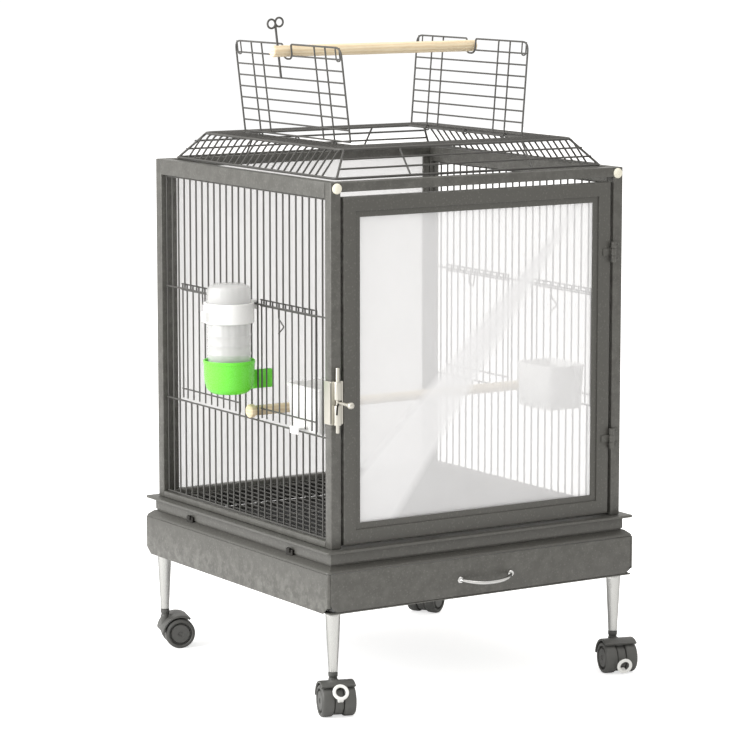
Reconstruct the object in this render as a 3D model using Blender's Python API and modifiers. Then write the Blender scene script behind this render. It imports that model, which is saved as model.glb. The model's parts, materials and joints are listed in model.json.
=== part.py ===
"""Bird cage on a low castor stand: steel base with tray, square bar cage, hinged clear door, folding roof flaps.

Sizes below are millimetres and the helpers turn them into metres. +Z is up, -Y is the front (the door), and the
origin is on the floor under the middle of the base.
"""

import math

import bmesh
import bpy
from mathutils import Matrix, Vector

MM = 0.001
GAP = 0.3  # clearance kept between pieces that touch

# --- driving dimensions ---------------------------------------------------------------------------------------
BASE_HALF = 230.0
NECK_HALF = 220.0
SKIRT_LOW, SKIRT_HIGH = 126.0, 178.0
NECK_LOW, NECK_HIGH = 184.0, 200.0
SHEET = 2.0
LEDGE = 16.0
FLANGE_THICK, FLANGE_INNER_HALF = 3.0, 196.0

CAGE_HALF = 216.85
POST = 14.0
FLOOR = NECK_HIGH + GAP + FLANGE_THICK  # top of the flange the cage stands on
CAGE_TOP = 649.5
SIDE_RAIL, END_RAIL, LOW_RAIL = 20.0, 12.0, 8.0

WIRE = 2.4  # width of a bar
BAR_COUNT = 27
LOWER_WIRE_Z, UPPER_WIRE_Z = 337.5, 484.4

DOOR_LEFT, DOOR_RIGHT = -199.0, 198.4
DOOR_LOW, DOOR_HIGH = 207.0, 631.3
DOOR_DEPTH, DOOR_STILE, BEAD = 12.0, 18.0, 7.2
HINGE_X, HINGE_Y, HINGE_R = 200.6, -220.65, 3.5

ROOF_LOW_HALF, ROOF_FLAT_HALF = 197.5, 173.0
ROOF_LOW_Z, ROOF_FLAT_Z = 652.3, 684.0
OPENING_HALF_X, OPENING_FRONT, OPENING_REAR = 128.0, -124.0, 140.0
FLAP_CLEAR = 2.5
FLAP_PITCH, FLAP_WIRES, FLAP_FOOT = 14.6, 9, 4.2
FLAP_LEAN = {"left": 7.0, "right": 4.5}

PLAY_PERCH_Y, PLAY_PERCH_Z, PLAY_PERCH_R = 8.0, 795.5, 7.4
PLAY_PERCH_LEFT, PLAY_PERCH_RIGHT = -164.0, 142.5
PIN_X, PIN_R = -155.0, 1.5

PERCH_Y, PERCH_Z, PERCH_R = -23.25, 348.5, 6.4
FEEDER_X, FEEDER_Y = -246.5, -23.25

LEG_XY = 212.0
LEG_LOW, LEG_HIGH = 51.0, SKIRT_LOW - GAP
WHEEL_R, AXLE_TRAIL, AXLE_Z = 20.0, 17.0, 20.0

# --- finishes: colour, roughness, metallic, alpha -------------------------------------------------------------
FINISHES = {
    "hammered_grey": ((0.20, 0.20, 0.195), 0.45, 0.3, 1.0),
    "wire_grey": ((0.23, 0.23, 0.23), 0.4, 0.4, 1.0),
    "clear_acrylic": ((0.92, 0.94, 0.95), 0.05, 0.0, 0.3),
    "nickel": ((0.72, 0.70, 0.66), 0.25, 1.0, 1.0),
    "chrome": ((0.8, 0.8, 0.8), 0.1, 1.0, 1.0),
    "leg_silver": ((0.85, 0.86, 0.86), 0.2, 0.9, 1.0),
    "cream_plastic": ((0.84, 0.80, 0.68), 0.4, 0.0, 1.0),
    "white_plastic": ((0.88, 0.88, 0.88), 0.35, 0.0, 1.0),
    "green_plastic": ((0.22, 0.80, 0.08), 0.3, 0.0, 1.0),
    "castor_nylon": ((0.10, 0.10, 0.10), 0.5, 0.0, 1.0),
    "pedal_grey": ((0.70, 0.70, 0.68), 0.4, 0.0, 1.0),
    "tray_plastic": ((0.25, 0.25, 0.26), 0.5, 0.0, 1.0),
    "pale_wood": ((0.80, 0.64, 0.42), 0.55, 0.0, 1.0),
}


# --- scene and materials --------------------------------------------------------------------------------------
def clear_scene():
    for obj in list(bpy.data.objects):
        bpy.data.objects.remove(obj, do_unlink=True)


def new_collection(name):
    collection = bpy.data.collections.new(name)
    bpy.context.scene.collection.children.link(collection)
    return collection


def finish_material(name):
    found = bpy.data.materials.get(name)
    if found:
        return found
    color, roughness, metallic, alpha = FINISHES[name]
    made = bpy.data.materials.new(name)
    made.use_nodes = True
    shader = made.node_tree.nodes["Principled BSDF"]
    shader.inputs["Base Color"].default_value = (*color, 1.0)
    shader.inputs["Roughness"].default_value = roughness
    shader.inputs["Metallic"].default_value = metallic
    shader.inputs["Alpha"].default_value = alpha
    return made


clear_scene()
PARTS = new_collection("bird_cage")
CUTTERS = new_collection("cutters")


# --- shapes: each returns a mesh in millimetres ---------------------------------------------------------------
def mesh_from(bm):
    bmesh.ops.recalc_face_normals(bm, faces=bm.faces)
    mesh = bpy.data.meshes.new("shape")
    bm.to_mesh(mesh)
    bm.free()
    return mesh


def evaluated_mesh(obj):
    """The mesh that a curve or a modifier makes, with its loose caps welded, and the object removed."""
    bpy.context.scene.collection.objects.link(obj)
    bpy.context.view_layer.update()
    graph = bpy.context.evaluated_depsgraph_get()
    made = bpy.data.meshes.new_from_object(obj.evaluated_get(graph))
    bpy.data.objects.remove(obj, do_unlink=True)
    bm = bmesh.new()
    bm.from_mesh(made)
    bmesh.ops.remove_doubles(bm, verts=bm.verts, dist=1e-4)
    return mesh_from(bm)


def box(low, high):
    low, high = Vector(low), Vector(high)
    bm = bmesh.new()
    size = Matrix.Diagonal((*(high - low), 1.0))
    bmesh.ops.create_cube(bm, size=1.0, matrix=Matrix.Translation((low + high) / 2) @ size)
    return mesh_from(bm)


def rod(start, end, radius, sides=12, end_radius=None):
    """A cylinder, or a cone when the end radius differs, between two points."""
    start, end = Vector(start), Vector(end)
    way = end - start
    turn = way.to_track_quat("Z", "Y").to_matrix().to_4x4()
    far = radius if end_radius is None else end_radius
    bm = bmesh.new()
    bmesh.ops.create_cone(
        bm, cap_ends=True, segments=sides, radius1=radius, radius2=far, depth=way.length,
        matrix=Matrix.Translation((start + end) / 2) @ turn,
    )
    return mesh_from(bm)


def ball(centre, radius, segments=12):
    bm = bmesh.new()
    bmesh.ops.create_uvsphere(
        bm, u_segments=segments, v_segments=segments // 2 + 1, radius=radius, matrix=Matrix.Translation(centre)
    )
    return mesh_from(bm)


def turned(profile, steps, frame=None, closed=False):
    """A profile of (radius, height) points swept about Z, then put in place by a matrix."""
    mesh = bpy.data.meshes.new("profile")
    points = [(r, 0.0, z) for r, z in profile]
    edges = [(i, i + 1) for i in range(len(points) - 1)]
    if closed:
        edges.append((len(points) - 1, 0))
    mesh.from_pydata(points, edges, [])
    obj = bpy.data.objects.new("profile", mesh)
    screw = obj.modifiers.new("turn", "SCREW")
    screw.angle = math.tau
    screw.steps = screw.render_steps = steps
    screw.use_merge_vertices = True
    screw.merge_threshold = 1e-4
    made = evaluated_mesh(obj)
    if frame:
        made.transform(frame)
    return made


def square_ring(profile):
    """A closed profile of (half width, height) points carried round a square."""
    reach = math.sqrt(2.0)
    corners = [(half * reach, z) for half, z in profile]
    return turned(corners, 4, Matrix.Rotation(math.pi / 4, 4, "Z"), closed=True)


def wires(runs, radius, sides_step=0, cyclic=False):
    """Tubes along lists of points, as one mesh of separate bodies."""
    curve = bpy.data.curves.new("wire", "CURVE")
    curve.dimensions = "3D"
    curve.bevel_depth = radius
    curve.bevel_resolution = sides_step
    curve.use_fill_caps = True
    for run in runs:
        spline = curve.splines.new("POLY")
        spline.points.add(len(run) - 1)
        for point, place in zip(spline.points, run):
            point.co = (*place, 1.0)
        spline.use_cyclic_u = cyclic
    return evaluated_mesh(bpy.data.objects.new("wire", curve))


def plate(loops, thickness, frame):
    """A flat outline, its first loop outside and the others holes, given a thickness about its own plane."""
    curve = bpy.data.curves.new("outline", "CURVE")
    curve.dimensions = "2D"
    curve.fill_mode = "BOTH"
    curve.extrude = thickness / 2
    for loop in loops:
        spline = curve.splines.new("POLY")
        spline.points.add(len(loop) - 1)
        for point, (u, v) in zip(spline.points, loop):
            point.co = (u, v, 0.0, 1.0)
        spline.use_cyclic_u = True
    made = evaluated_mesh(bpy.data.objects.new("outline", curve))
    made.transform(frame)
    return made


def facing_x(x):
    """Plane with u along +Y and v along +Z, centred at this x."""
    return Matrix(((0, 0, 1, x), (1, 0, 0, 0), (0, 1, 0, 0), (0, 0, 0, 1)))


def facing_y(y):
    """Plane with u along +X and v along +Z, centred at this y."""
    return Matrix(((1, 0, 0, 0), (0, 0, -1, y), (0, 1, 0, 0), (0, 0, 0, 1)))


def facing_z(z):
    return Matrix.Translation((0, 0, z))


def rectangle(u0, u1, v0, v1):
    return [(u0, v0), (u1, v0), (u1, v1), (u0, v1)]


def grid_loops(us, vs, merged=(), width=WIRE):
    """Outer edge and holes of a grid of bars centred on us and vs. merged names cell blocks that are one hole."""
    half = width / 2
    loops = [rectangle(us[0] - half, us[-1] + half, vs[0] - half, vs[-1] + half)]
    taken = {(i, j) for i0, i1, j0, j1 in merged for i in range(i0, i1) for j in range(j0, j1)}
    for i in range(len(us) - 1):
        for j in range(len(vs) - 1):
            if (i, j) not in taken:
                loops.append(rectangle(us[i] + half, us[i + 1] - half, vs[j] + half, vs[j + 1] - half))
    for i0, i1, j0, j1 in merged:
        loops.append(rectangle(us[i0] + half, us[i1] - half, vs[j0] + half, vs[j1] - half))
    return loops


# --- pieces: objects in metres --------------------------------------------------------------------------------
def in_metres(mesh, pivot):
    mesh.transform(Matrix.Scale(MM, 4) @ Matrix.Translation(-Vector(pivot)))
    return mesh


def piece(name, mesh, finish, pivot=(0, 0, 0)):
    """A named part whose origin is at pivot, which is on its joint's axis when it moves."""
    obj = bpy.data.objects.new(name, in_metres(mesh, pivot))
    obj.location = Vector(pivot) * MM
    obj.data.name = name
    obj.data.materials.append(finish_material(finish))
    obj.data.shade_smooth()
    obj.data.set_sharp_from_angle(angle=math.radians(35))
    PARTS.objects.link(obj)
    return obj


def helper(obj, mesh, operation, solver="EXACT"):
    other = bpy.data.objects.new(f"{obj.name}_{operation.lower()}", in_metres(mesh, (0, 0, 0)))
    other.hide_render = True
    other.display_type = "WIRE"
    CUTTERS.objects.link(other)
    modifier = obj.modifiers.new(operation.title(), "BOOLEAN")
    modifier.operation = operation
    modifier.object = other
    modifier.solver = solver


def join(obj, *meshes, solver="EXACT"):
    for mesh in meshes:
        helper(obj, mesh, "UNION", solver)


def cut(obj, *meshes):
    for mesh in meshes:
        helper(obj, mesh, "DIFFERENCE")


def open_box(name, low, high, wall, finish, taper=0.0, pivot=(0, 0, 0)):
    """A box without a lid, its walls growing inwards, its floor smaller than its mouth by the taper."""
    mesh = box(low, high)
    middle = (Vector(low) + Vector(high)) / 2
    bm = bmesh.new()
    bm.from_mesh(mesh)
    lid = [f for f in bm.faces if all(v.co.z > middle.z for v in f.verts)]
    bmesh.ops.delete(bm, geom=lid, context="FACES_ONLY")
    for vert in bm.verts:
        if vert.co.z < middle.z:
            vert.co.x -= math.copysign(taper, vert.co.x - middle.x)
            vert.co.y -= math.copysign(taper, vert.co.y - middle.y)
    bm.to_mesh(mesh)
    bm.free()
    obj = piece(name, mesh, finish, pivot)
    shell = obj.modifiers.new("wall", "SOLIDIFY")
    shell.thickness = wall * MM
    shell.offset = -1
    shell.use_even_offset = True
    return obj


# --- base -----------------------------------------------------------------------------------------------------
def base():
    outer, neck, s = BASE_HALF, NECK_HALF, SHEET
    housing = piece("base_housing", square_ring([
        (neck, NECK_HIGH), (neck, NECK_LOW), (outer, SKIRT_HIGH), (outer, SKIRT_LOW),
        (outer - LEDGE, SKIRT_LOW), (outer - LEDGE, SKIRT_LOW + s), (outer - s, SKIRT_LOW + s),
        (outer - s, SKIRT_HIGH - 1), (neck - s, NECK_LOW - 1), (neck - s, NECK_HIGH),
    ]), "hammered_grey")
    front_low, front_high, front_half = SKIRT_LOW + s + 0.1, SKIRT_HIGH - 2, outer - 3.5
    cut(housing, box((-front_half, -outer - 5, front_low), (front_half, -outer + s + 3, front_high)))
    flange_low = NECK_HIGH + GAP
    piece("base_flange", square_ring([
        (outer, FLOOR), (outer, flange_low), (FLANGE_INNER_HALF, flange_low), (FLANGE_INNER_HALF, FLOOR),
    ]), "hammered_grey")

    tray_low, tray_high, tray_half = SKIRT_LOW + s + GAP, 170.0, 222.0
    front_y = -outer - 0.6
    piece("tray_front", box(
        (-front_half + 0.5, front_y, front_low + GAP), (front_half - 0.5, front_y + 1.5, front_high - GAP)
    ), "hammered_grey")
    open_box("tray_pan", (-tray_half, front_y + 1.5 + GAP, tray_low), (tray_half, tray_half, tray_high),
             1.5, "tray_plastic")
    handle_half, handle_z, reach, clear = 38.0, 149.0, 15.5, 1.6
    bow = []
    for i in range(13):
        t = -1 + i / 6
        out = reach * (1 - abs(t) ** 3.2)
        bow.append((handle_half * t, front_y - clear - out, handle_z - 4.0 * (1 - t * t)))
    handle = piece("tray_handle", wires([bow], 2.4, 2), "chrome")
    for side in (-1, 1):
        foot = (side * handle_half, front_y - GAP, handle_z)
        join(handle, rod(foot, (foot[0], foot[1] - 2.0, foot[2]), 4.2))

    pitch = 15.0
    half = 13 * pitch + 6
    across = [-half] + [i * pitch for i in range(-13, 14)] + [half]
    along = [-half, 0.0, half]
    grate = grid_loops(across, along)
    piece("floor_grate", plate(grate, WIRE, facing_z(FLOOR + GAP + WIRE / 2)), "wire_grey")


def legs():
    for x_name, sx in (("left", -1), ("right", 1)):
        for y_name, sy in (("front", -1), ("rear", 1)):
            foot = (sx * LEG_XY, sy * LEG_XY)
            piece(f"leg_{y_name}_{x_name}", rod((*foot, LEG_LOW), (*foot, LEG_HIGH), 5.8, 14, 9.4), "leg_silver")


# --- castors --------------------------------------------------------------------------------------------------
def arc(centre, radius, start, end, steps):
    """Points along an arc, angles in degrees."""
    turn = [math.radians(start + (end - start) * i / steps) for i in range(steps + 1)]
    return [(centre[0] + radius * math.cos(a), centre[1] + radius * math.sin(a)) for a in turn]


def castor(name, x, y, heading, pedal_angle=None):
    """Hooded twin-wheel castor: swivels about the leg, rolls on an axle that trails in the heading direction."""
    place = Matrix.Translation((x, y, 0)) @ Matrix.Rotation(math.radians(heading), 4, "Z")
    axle = (AXLE_TRAIL, AXLE_Z)

    def put(mesh):
        mesh.transform(place)
        return mesh

    web_half, wheel_in, wheel_out = 5.5, 6.3, 21.3
    fender = arc(axle, 24.6, 58, 172, 8) + arc(axle, 21.6, 172, 58, 8)
    hood = piece(f"{name}_hood", put(plate([fender], 43.0, facing_y(0))), "castor_nylon", (x, y, 0))
    join(
        hood,
        put(rod((axle[0], -web_half, AXLE_Z), (axle[0], web_half, AXLE_Z), 18.0, 20)),
        put(box((4, -web_half + 0.4, 30), (25, web_half - 0.4, 43.5))),
        put(rod((0, 0, 27), (0, 0, LEG_LOW - GAP), 5.9, 14)),
    )
    cut(hood, put(rod((axle[0], -30, AXLE_Z), (axle[0], 30, AXLE_Z), 3.4, 12)))
    half_wheel = [(0, wheel_out), (17.0, wheel_out), (WHEEL_R, wheel_out - 3), (WHEEL_R, wheel_in), (3.0, wheel_in)]
    profile = half_wheel + [(r, -h) for r, h in reversed(half_wheel)]
    on_axle = Matrix.Translation((axle[0], 0, AXLE_Z)) @ Matrix.Rotation(math.pi / 2, 4, "X")
    hub = place @ Vector((axle[0], 0, AXLE_Z))
    piece(f"{name}_wheels", put(turned(profile, 18, on_axle)), "castor_nylon", hub)
    if pedal_angle is None:
        return
    tilt = Matrix.Translation((axle[0], 0, AXLE_Z)) @ Matrix.Rotation(-math.radians(pedal_angle), 4, "Y")
    ring = [arc((0, 0), 10.2, 0, 345, 23), arc((0, 0), 6.0, 0, 345, 23)]
    tread = plate(ring, 3.0, facing_x(27.0))
    tread.transform(tilt)
    pedal = piece(f"{name}_brake", put(tread), "pedal_grey", hub)
    arm = box((17.9, -3.4, -10.0), (26.5, 3.4, -6.0))
    arm.transform(tilt)
    join(pedal, put(arm))


# --- cage frame -----------------------------------------------------------------------------------------------
def frame():
    outer, inner = CAGE_HALF, CAGE_HALF - POST
    span = inner - GAP
    for x_name, sx in (("left", -1), ("right", 1)):
        xs = sorted((sx * outer, sx * inner))
        for y_name, sy in (("front", -1), ("rear", 1)):
            ys = sorted((sy * outer, sy * inner))
            piece(f"post_{y_name}_{x_name}", box((xs[0], ys[0], FLOOR + GAP), (xs[1], ys[1], CAGE_TOP)),
                  "hammered_grey")
        piece(f"top_rail_{x_name}", box((xs[0], -span, CAGE_TOP - SIDE_RAIL), (xs[1], span, CAGE_TOP)),
              "hammered_grey")
        piece(f"bottom_rail_{x_name}", box((xs[0], -span, FLOOR + GAP), (xs[1], span, FLOOR + GAP + LOW_RAIL)),
              "hammered_grey")
        cap = [(0, 4.0), (3.2, 3.6), (5.4, 2.2), (6.5, 0.6), (6.5, 0.0), (0, 0.0)]
        on_post = Matrix.Translation((sx * 208.5, -outer - GAP, 642.0)) @ Matrix.Rotation(math.pi / 2, 4, "X")
        piece(f"corner_bolt_{x_name}", turned(cap, 14, on_post), "cream_plastic")
    for y_name, sy in (("front", -1), ("rear", 1)):
        ys = sorted((sy * outer, sy * inner))
        piece(f"top_rail_{y_name}", box((-span, ys[0], CAGE_TOP - END_RAIL), (span, ys[1], CAGE_TOP)),
              "hammered_grey")
    piece("bottom_rail_rear", box((-span, inner, FLOOR + GAP), (span, outer, FLOOR + GAP + LOW_RAIL)),
          "hammered_grey")
    piece("rear_panel", box((-span, 208.0, FLOOR + 2 * GAP + LOW_RAIL), (span, 211.0, CAGE_TOP - END_RAIL - GAP)),
          "clear_acrylic")


def bar_positions():
    """Where the upright bars of a side panel stand along Y."""
    edge = CAGE_HALF - POST - GAP - WIRE / 2
    return [-edge + 2 * edge * i / (BAR_COUNT - 1) for i in range(BAR_COUNT)]


FEEDER_DOORS = {"front": (2, 11), "rear": (14, 24)}  # first and last bar beside each opening


def side_panels():
    ys = bar_positions()
    low = FLOOR + 2 * GAP + LOW_RAIL + WIRE / 2
    high = CAGE_TOP - SIDE_RAIL - GAP - WIRE / 2
    zs = [low, LOWER_WIRE_Z, UPPER_WIRE_Z, high]
    openings = [(first, last, 1, 2) for first, last in FEEDER_DOORS.values()]
    for name, sx in (("left", -1), ("right", 1)):
        piece(f"side_panel_{name}", plate(grid_loops(ys, zs, openings), WIRE, facing_x(sx * 210.0)), "wire_grey")


def feeder_doors():
    """Bar doors just inside the side panels, which slide up off the cups' openings."""
    ys = bar_positions()
    inset, width, door_x = 4.0, 2.2, 206.6
    zs = [352.5, UPPER_WIRE_Z - 2.0, UPPER_WIRE_Z + 5.5]
    for side, sx in (("left", -1), ("right", 1)):
        for end, (first, last) in FEEDER_DOORS.items():
            bars = [ys[first] + inset, *ys[first + 1:last], ys[last] - inset]
            mesh = plate(grid_loops(bars, zs, width=width), width, facing_x(sx * door_x))
            piece(f"feeder_door_{end}_{side}", mesh, "wire_grey", (sx * door_x, (bars[0] + bars[-1]) / 2, zs[0]))


# --- front door and latch -------------------------------------------------------------------------------------
def inset_rectangle(by):
    return rectangle(DOOR_LEFT + by, DOOR_RIGHT - by, DOOR_LOW + by, DOOR_HIGH - by)


def front_door():
    axis = (HINGE_X, HINGE_Y, (DOOR_LOW + DOOR_HIGH) / 2)
    face = -CAGE_HALF
    bead_front, bead_back = face + 2.3, face + 5.4
    stiles = plate([inset_rectangle(0), inset_rectangle(DOOR_STILE)], DOOR_DEPTH, facing_y(face + DOOR_DEPTH / 2))
    door = piece("door_frame", stiles, "hammered_grey", axis)
    bead = plate([inset_rectangle(DOOR_STILE - 1), inset_rectangle(DOOR_STILE + BEAD)], bead_back - bead_front,
                 facing_y((bead_front + bead_back) / 2))
    join(door, bead)
    clear = DOOR_STILE + 2 * GAP
    piece("door_pane", box((DOOR_LEFT + clear, bead_back + GAP, DOOR_LOW + clear),
                           (DOOR_RIGHT - clear, bead_back + GAP + 3.0, DOOR_HIGH - clear)), "clear_acrylic", axis)
    for name, middle in (("upper", 543.0), ("lower", 304.0)):
        hinge(name, middle, axis)


def hinge(name, middle, axis):
    """Two leaves in front of the post and the stile: the post's has the pin, the door's the middle knuckle."""
    half, knuckle, leaf = 13.0, 4.5, 1.2
    place = Matrix.Translation((HINGE_X, HINGE_Y, middle))
    pin = [(0, half), (HINGE_R, half), (HINGE_R, knuckle + GAP), (1.5, knuckle + GAP)]
    profile = pin + [(r, -z) for r, z in reversed(pin)]
    post_leaf = piece(f"hinge_{name}_pin", turned(profile, 12, place), "hammered_grey")
    face = -CAGE_HALF - GAP
    for sign in (-1, 1):
        ends = sorted((middle + sign * (knuckle + GAP), middle + sign * half))
        join(post_leaf, box((HINGE_X, face - leaf, ends[0]), (HINGE_X + 13, face, ends[1])))
    ring = [(HINGE_R, knuckle), (HINGE_R, -knuckle), (1.9, -knuckle), (1.9, knuckle)]
    door_leaf = piece(f"hinge_{name}_leaf", turned(ring, 12, place, closed=True), "hammered_grey", axis)
    join(door_leaf, box((HINGE_X - 14, face - leaf, middle - knuckle), (HINGE_X - 2.2, face, middle + knuckle)))


def latch():
    """Barrel bolt wrapped round the front left post; its ball lever turns across the door's stile."""
    low, high, axis = 357.0, 410.0, (-211.0, -222.2)
    face, sheet = -CAGE_HALF - GAP, 1.6
    housing = piece("latch_housing", box((face - sheet, face - sheet, low), (-201.0, face, high)), "nickel")
    join(
        housing,
        box((face - sheet, face - 0.5, low), (face, -203.0, high)),
        rod((*axis, low), (*axis, high), 4.6, 14),
    )
    cut(
        housing,
        rod((*axis, low - 5), (*axis, high + 5), 2.7, 14),
        box((axis[0] - 3.4, axis[1] - 8, 381.2), (-200.0, axis[1] + 3.0, 388.2)),
    )
    lever_z = 384.7
    bolt = piece("latch_bolt", rod((*axis, 347.0), (*axis, 427.0), 2.3, 12), "nickel", (*axis, lever_z))
    end = (axis[0], axis[1] - 30.0, lever_z)
    join(bolt, rod((*axis, lever_z), end, 1.9, 10), ball(end, 4.3))


# --- roof -----------------------------------------------------------------------------------------------------
def slope_loops(uprights, hoops, side):
    """Outline of one slope, low edge at v = 0, and its holes between upright bars and level hoops.

    side is how far it runs past the ridges, which differs between neighbours so that no two edges coincide."""
    half, edge = WIRE / 2, 1.6
    length = math.hypot(ROOF_LOW_HALF - ROOF_FLAT_HALF, ROOF_FLAT_Z - ROOF_LOW_Z)

    def ridge(v):
        return ROOF_LOW_HALF - (ROOF_LOW_HALF - ROOF_FLAT_HALF) * v / length

    low, high, strip, rib = -edge, length, 4.5, 4.5
    outer = [(-ridge(low) - side, low), (ridge(low) + side, low), (ridge(high) + side, high),
             (-ridge(high) - side, high)]
    levels = [edge - half, *(length * share for share in hoops), length - strip + half]
    loops = [outer]
    for v0, v1 in zip(levels, levels[1:]):
        v0, v1 = v0 + half, v1 - half
        for u0, u1 in zip(uprights, uprights[1:]):
            loops.append(rectangle(u0 + half, u1 - half, v0, v1))
        inner = uprights[-1] + half
        corner = [(inner, v0), (ridge(v0) - rib, v0), (ridge(v1) - rib, v1), (inner, v1)]
        loops.append(corner)
        loops.append([(-u, v) for u, v in reversed(corner)])
    return loops


def flat_loops():
    """The level part of the roof: bars from left to right that stop at the opening."""
    half, edge = WIRE / 2, ROOF_FLAT_HALF - 2.5
    ring = 2.0
    bars = [-edge - half, *(15.0 * i for i in range(-11, 12)), edge + half]
    x0, x1 = OPENING_HALF_X - ring, OPENING_HALF_X + ring
    rim = ROOF_FLAT_HALF + 2.5
    loops = [rectangle(-rim, rim, -rim, rim)]
    for y0, y1 in zip(bars, bars[1:]):
        y0, y1 = y0 + half, y1 - half
        if y1 <= OPENING_FRONT + ring or y0 >= OPENING_REAR - ring:
            clear0 = max(y0, OPENING_REAR + ring) if y0 > 0 else y0
            clear1 = min(y1, OPENING_FRONT - ring) if y1 < 0 else y1
            loops.append(rectangle(-edge, edge, clear0, clear1))
        else:
            loops.append(rectangle(-edge, -x1, y0, y1))
            loops.append(rectangle(x1, edge, y0, y1))
    loops.append(rectangle(-x0, x0, OPENING_FRONT + ring, OPENING_REAR - ring))
    return loops


def roof():
    """Low hip of wire: four slopes round a level part with the opening that the flaps close."""
    grille = piece("roof_grille", plate(flat_loops(), WIRE, facing_z(ROOF_FLAT_Z)), "wire_grey")
    rise = math.atan2(ROOF_FLAT_Z - ROOF_LOW_Z, ROOF_LOW_HALF - ROOF_FLAT_HALF)
    lay = Matrix.Translation((0, -ROOF_LOW_HALF, ROOF_LOW_Z)) @ Matrix.Rotation(rise, 4, "X")
    cross_bars = [15.0 * i for i in range(-11, 12)]
    end_slope = ([-91.0, 91.0], (1 / 3, 2 / 3), 1.0, 2.0)
    side_slope = (cross_bars, (), 1.7, WIRE)
    for i, (uprights, hoops, side, thickness) in enumerate((end_slope, side_slope) * 2):
        turn = Matrix.Rotation(i * math.pi / 2, 4, "Z")
        # The exact solver leaves open edges where the slopes meet.
        join(grille, plate(slope_loops(uprights, hoops, side), thickness, turn @ lay), solver="MANIFOLD")


def flap_loops():
    """Grid of a roof flap, with a cradle in the middle of its top edge that the play perch lies in."""
    width = OPENING_REAR - OPENING_FRONT - 2 * FLAP_CLEAR
    start = OPENING_FRONT + FLAP_CLEAR
    half = WIRE / 2
    us = [start + width * share for share in (0, 0.15, 0.25, 0.75, 0.85, 1)]
    us[0] += half
    us[-1] -= half
    vs = [FLAP_FOOT + FLAP_PITCH * i for i in range(FLAP_WIRES)]
    top, second, third = vs[-1], vs[-2], vs[-3]
    last = len(vs) - 1
    loops = grid_loops(us, vs, [(2, 3, last - 2, last - 1), (2, 3, last - 1, last)])[:-2]
    mid, reach, floor = PLAY_PERCH_Y, PLAY_PERCH_R + 1.7, 103.4
    outer = [(us[0] - half, vs[0] - half), (us[-1] + half, vs[0] - half), (us[-1] + half, top + half),
             (mid + reach, top + half), (mid + reach, floor), (mid - reach, floor), (mid - reach, top + half),
             (us[0] - half, top + half)]
    left, right, wall = us[2] + half, us[3] - half, reach + WIRE
    below = [(left, third + half), (right, third + half), (right, second - half), (mid + wall, second - half),
             (mid + wall, floor - WIRE), (mid - wall, floor - WIRE), (mid - wall, second - half),
             (left, second - half)]
    beside = [rectangle(left, mid - wall, second + half, top - half),
              rectangle(mid + wall, right, second + half, top - half)]
    return [outer, *loops[1:], below, *beside]


def roof_flaps():
    for name, sx in (("left", -1), ("right", 1)):
        pivot = (sx * OPENING_HALF_X, 0, ROOF_FLAT_Z)
        lean = Matrix.Rotation(sx * math.radians(FLAP_LEAN[name]), 4, "Y")
        mesh = plate(flap_loops(), WIRE, Matrix.Translation(pivot) @ lean @ facing_x(0))
        piece(f"roof_flap_{name}", mesh, "wire_grey", pivot)


def play_perch():
    middle = (0, PLAY_PERCH_Y, PLAY_PERCH_Z)
    left, right = (PLAY_PERCH_LEFT, *middle[1:]), (PLAY_PERCH_RIGHT, *middle[1:])
    perch = piece("play_perch", rod(left, right, PLAY_PERCH_R, 16), "pale_wood", middle)
    lean = math.radians(FLAP_LEAN["left"])
    along = Vector((-math.sin(lean), 0, math.cos(lean)))
    through = Vector((PIN_X, PLAY_PERCH_Y, PLAY_PERCH_Z))
    cut(perch, rod(through - along * 12, through + along * 12, PIN_R + 0.7, 10))
    low, high = through - along * 34.5, through + along * 33.5
    pin = piece("perch_pin", rod(low, high, PIN_R, 8), "wire_grey", through)
    for side, lift in ((-1, 0.0), (1, 2.0)):
        centre = high + Vector((side * 5.6, 0, 1.0 + lift))
        turn = [math.tau * i / 14 for i in range(14)]
        loop = [(centre.x + 5.6 * math.cos(a), centre.y, centre.z + 5.6 * math.sin(a)) for a in turn]
        join(pin, wires([loop], 1.3, 0, cyclic=True))


# --- fittings -------------------------------------------------------------------------------------------------
def inner_perch():
    """Wooden perch across the cage, with a neck that passes between two bars and a round cap outside them."""
    half = [(0, 219.5), (7.0, 219.5), (8.5, 218.0), (8.5, 212.0), (4.8, 211.6), (4.8, 208.4), (PERCH_R, 208.2)]
    profile = half + [(r, -h) for r, h in reversed(half)]
    along_x = Matrix.Translation((0, PERCH_Y, PERCH_Z)) @ Matrix.Rotation(math.pi / 2, 4, "Y")
    piece("inner_perch", turned(profile, 16, along_x), "pale_wood")


def food_cups():
    """White cups that hook over the lower horizontal wire, inside the front feeder doors."""
    back, reach, y, half, low, high = 203.2, 60.0, -124.0, 39.0, 335.0, 392.0
    for name, sx in (("left", -1), ("right", 1)):
        def spread(x0, x1, y0, y1, z0, z1):
            xs = sorted((sx * x0, sx * x1))
            return (xs[0], y0, z0), (xs[1], y1, z1)
        pivot = (sx * back, y, low)
        cup = open_box(f"food_cup_{name}", *spread(back - reach, back, y - half, y + half, low, high),
                       1.8, "white_plastic", 4.0, pivot)
        join(
            cup,
            box(*spread(back - 5.3, 213.4, y - 10, y + 10, 339.0, 342.0)),
            box(*spread(211.6, 213.4, y - 10, y + 10, 333.0, 340.5)),
            box(*spread(back - 5.3, back - 2.6, y - 10, y + 10, 339.0, 352.0)),
        )


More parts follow.
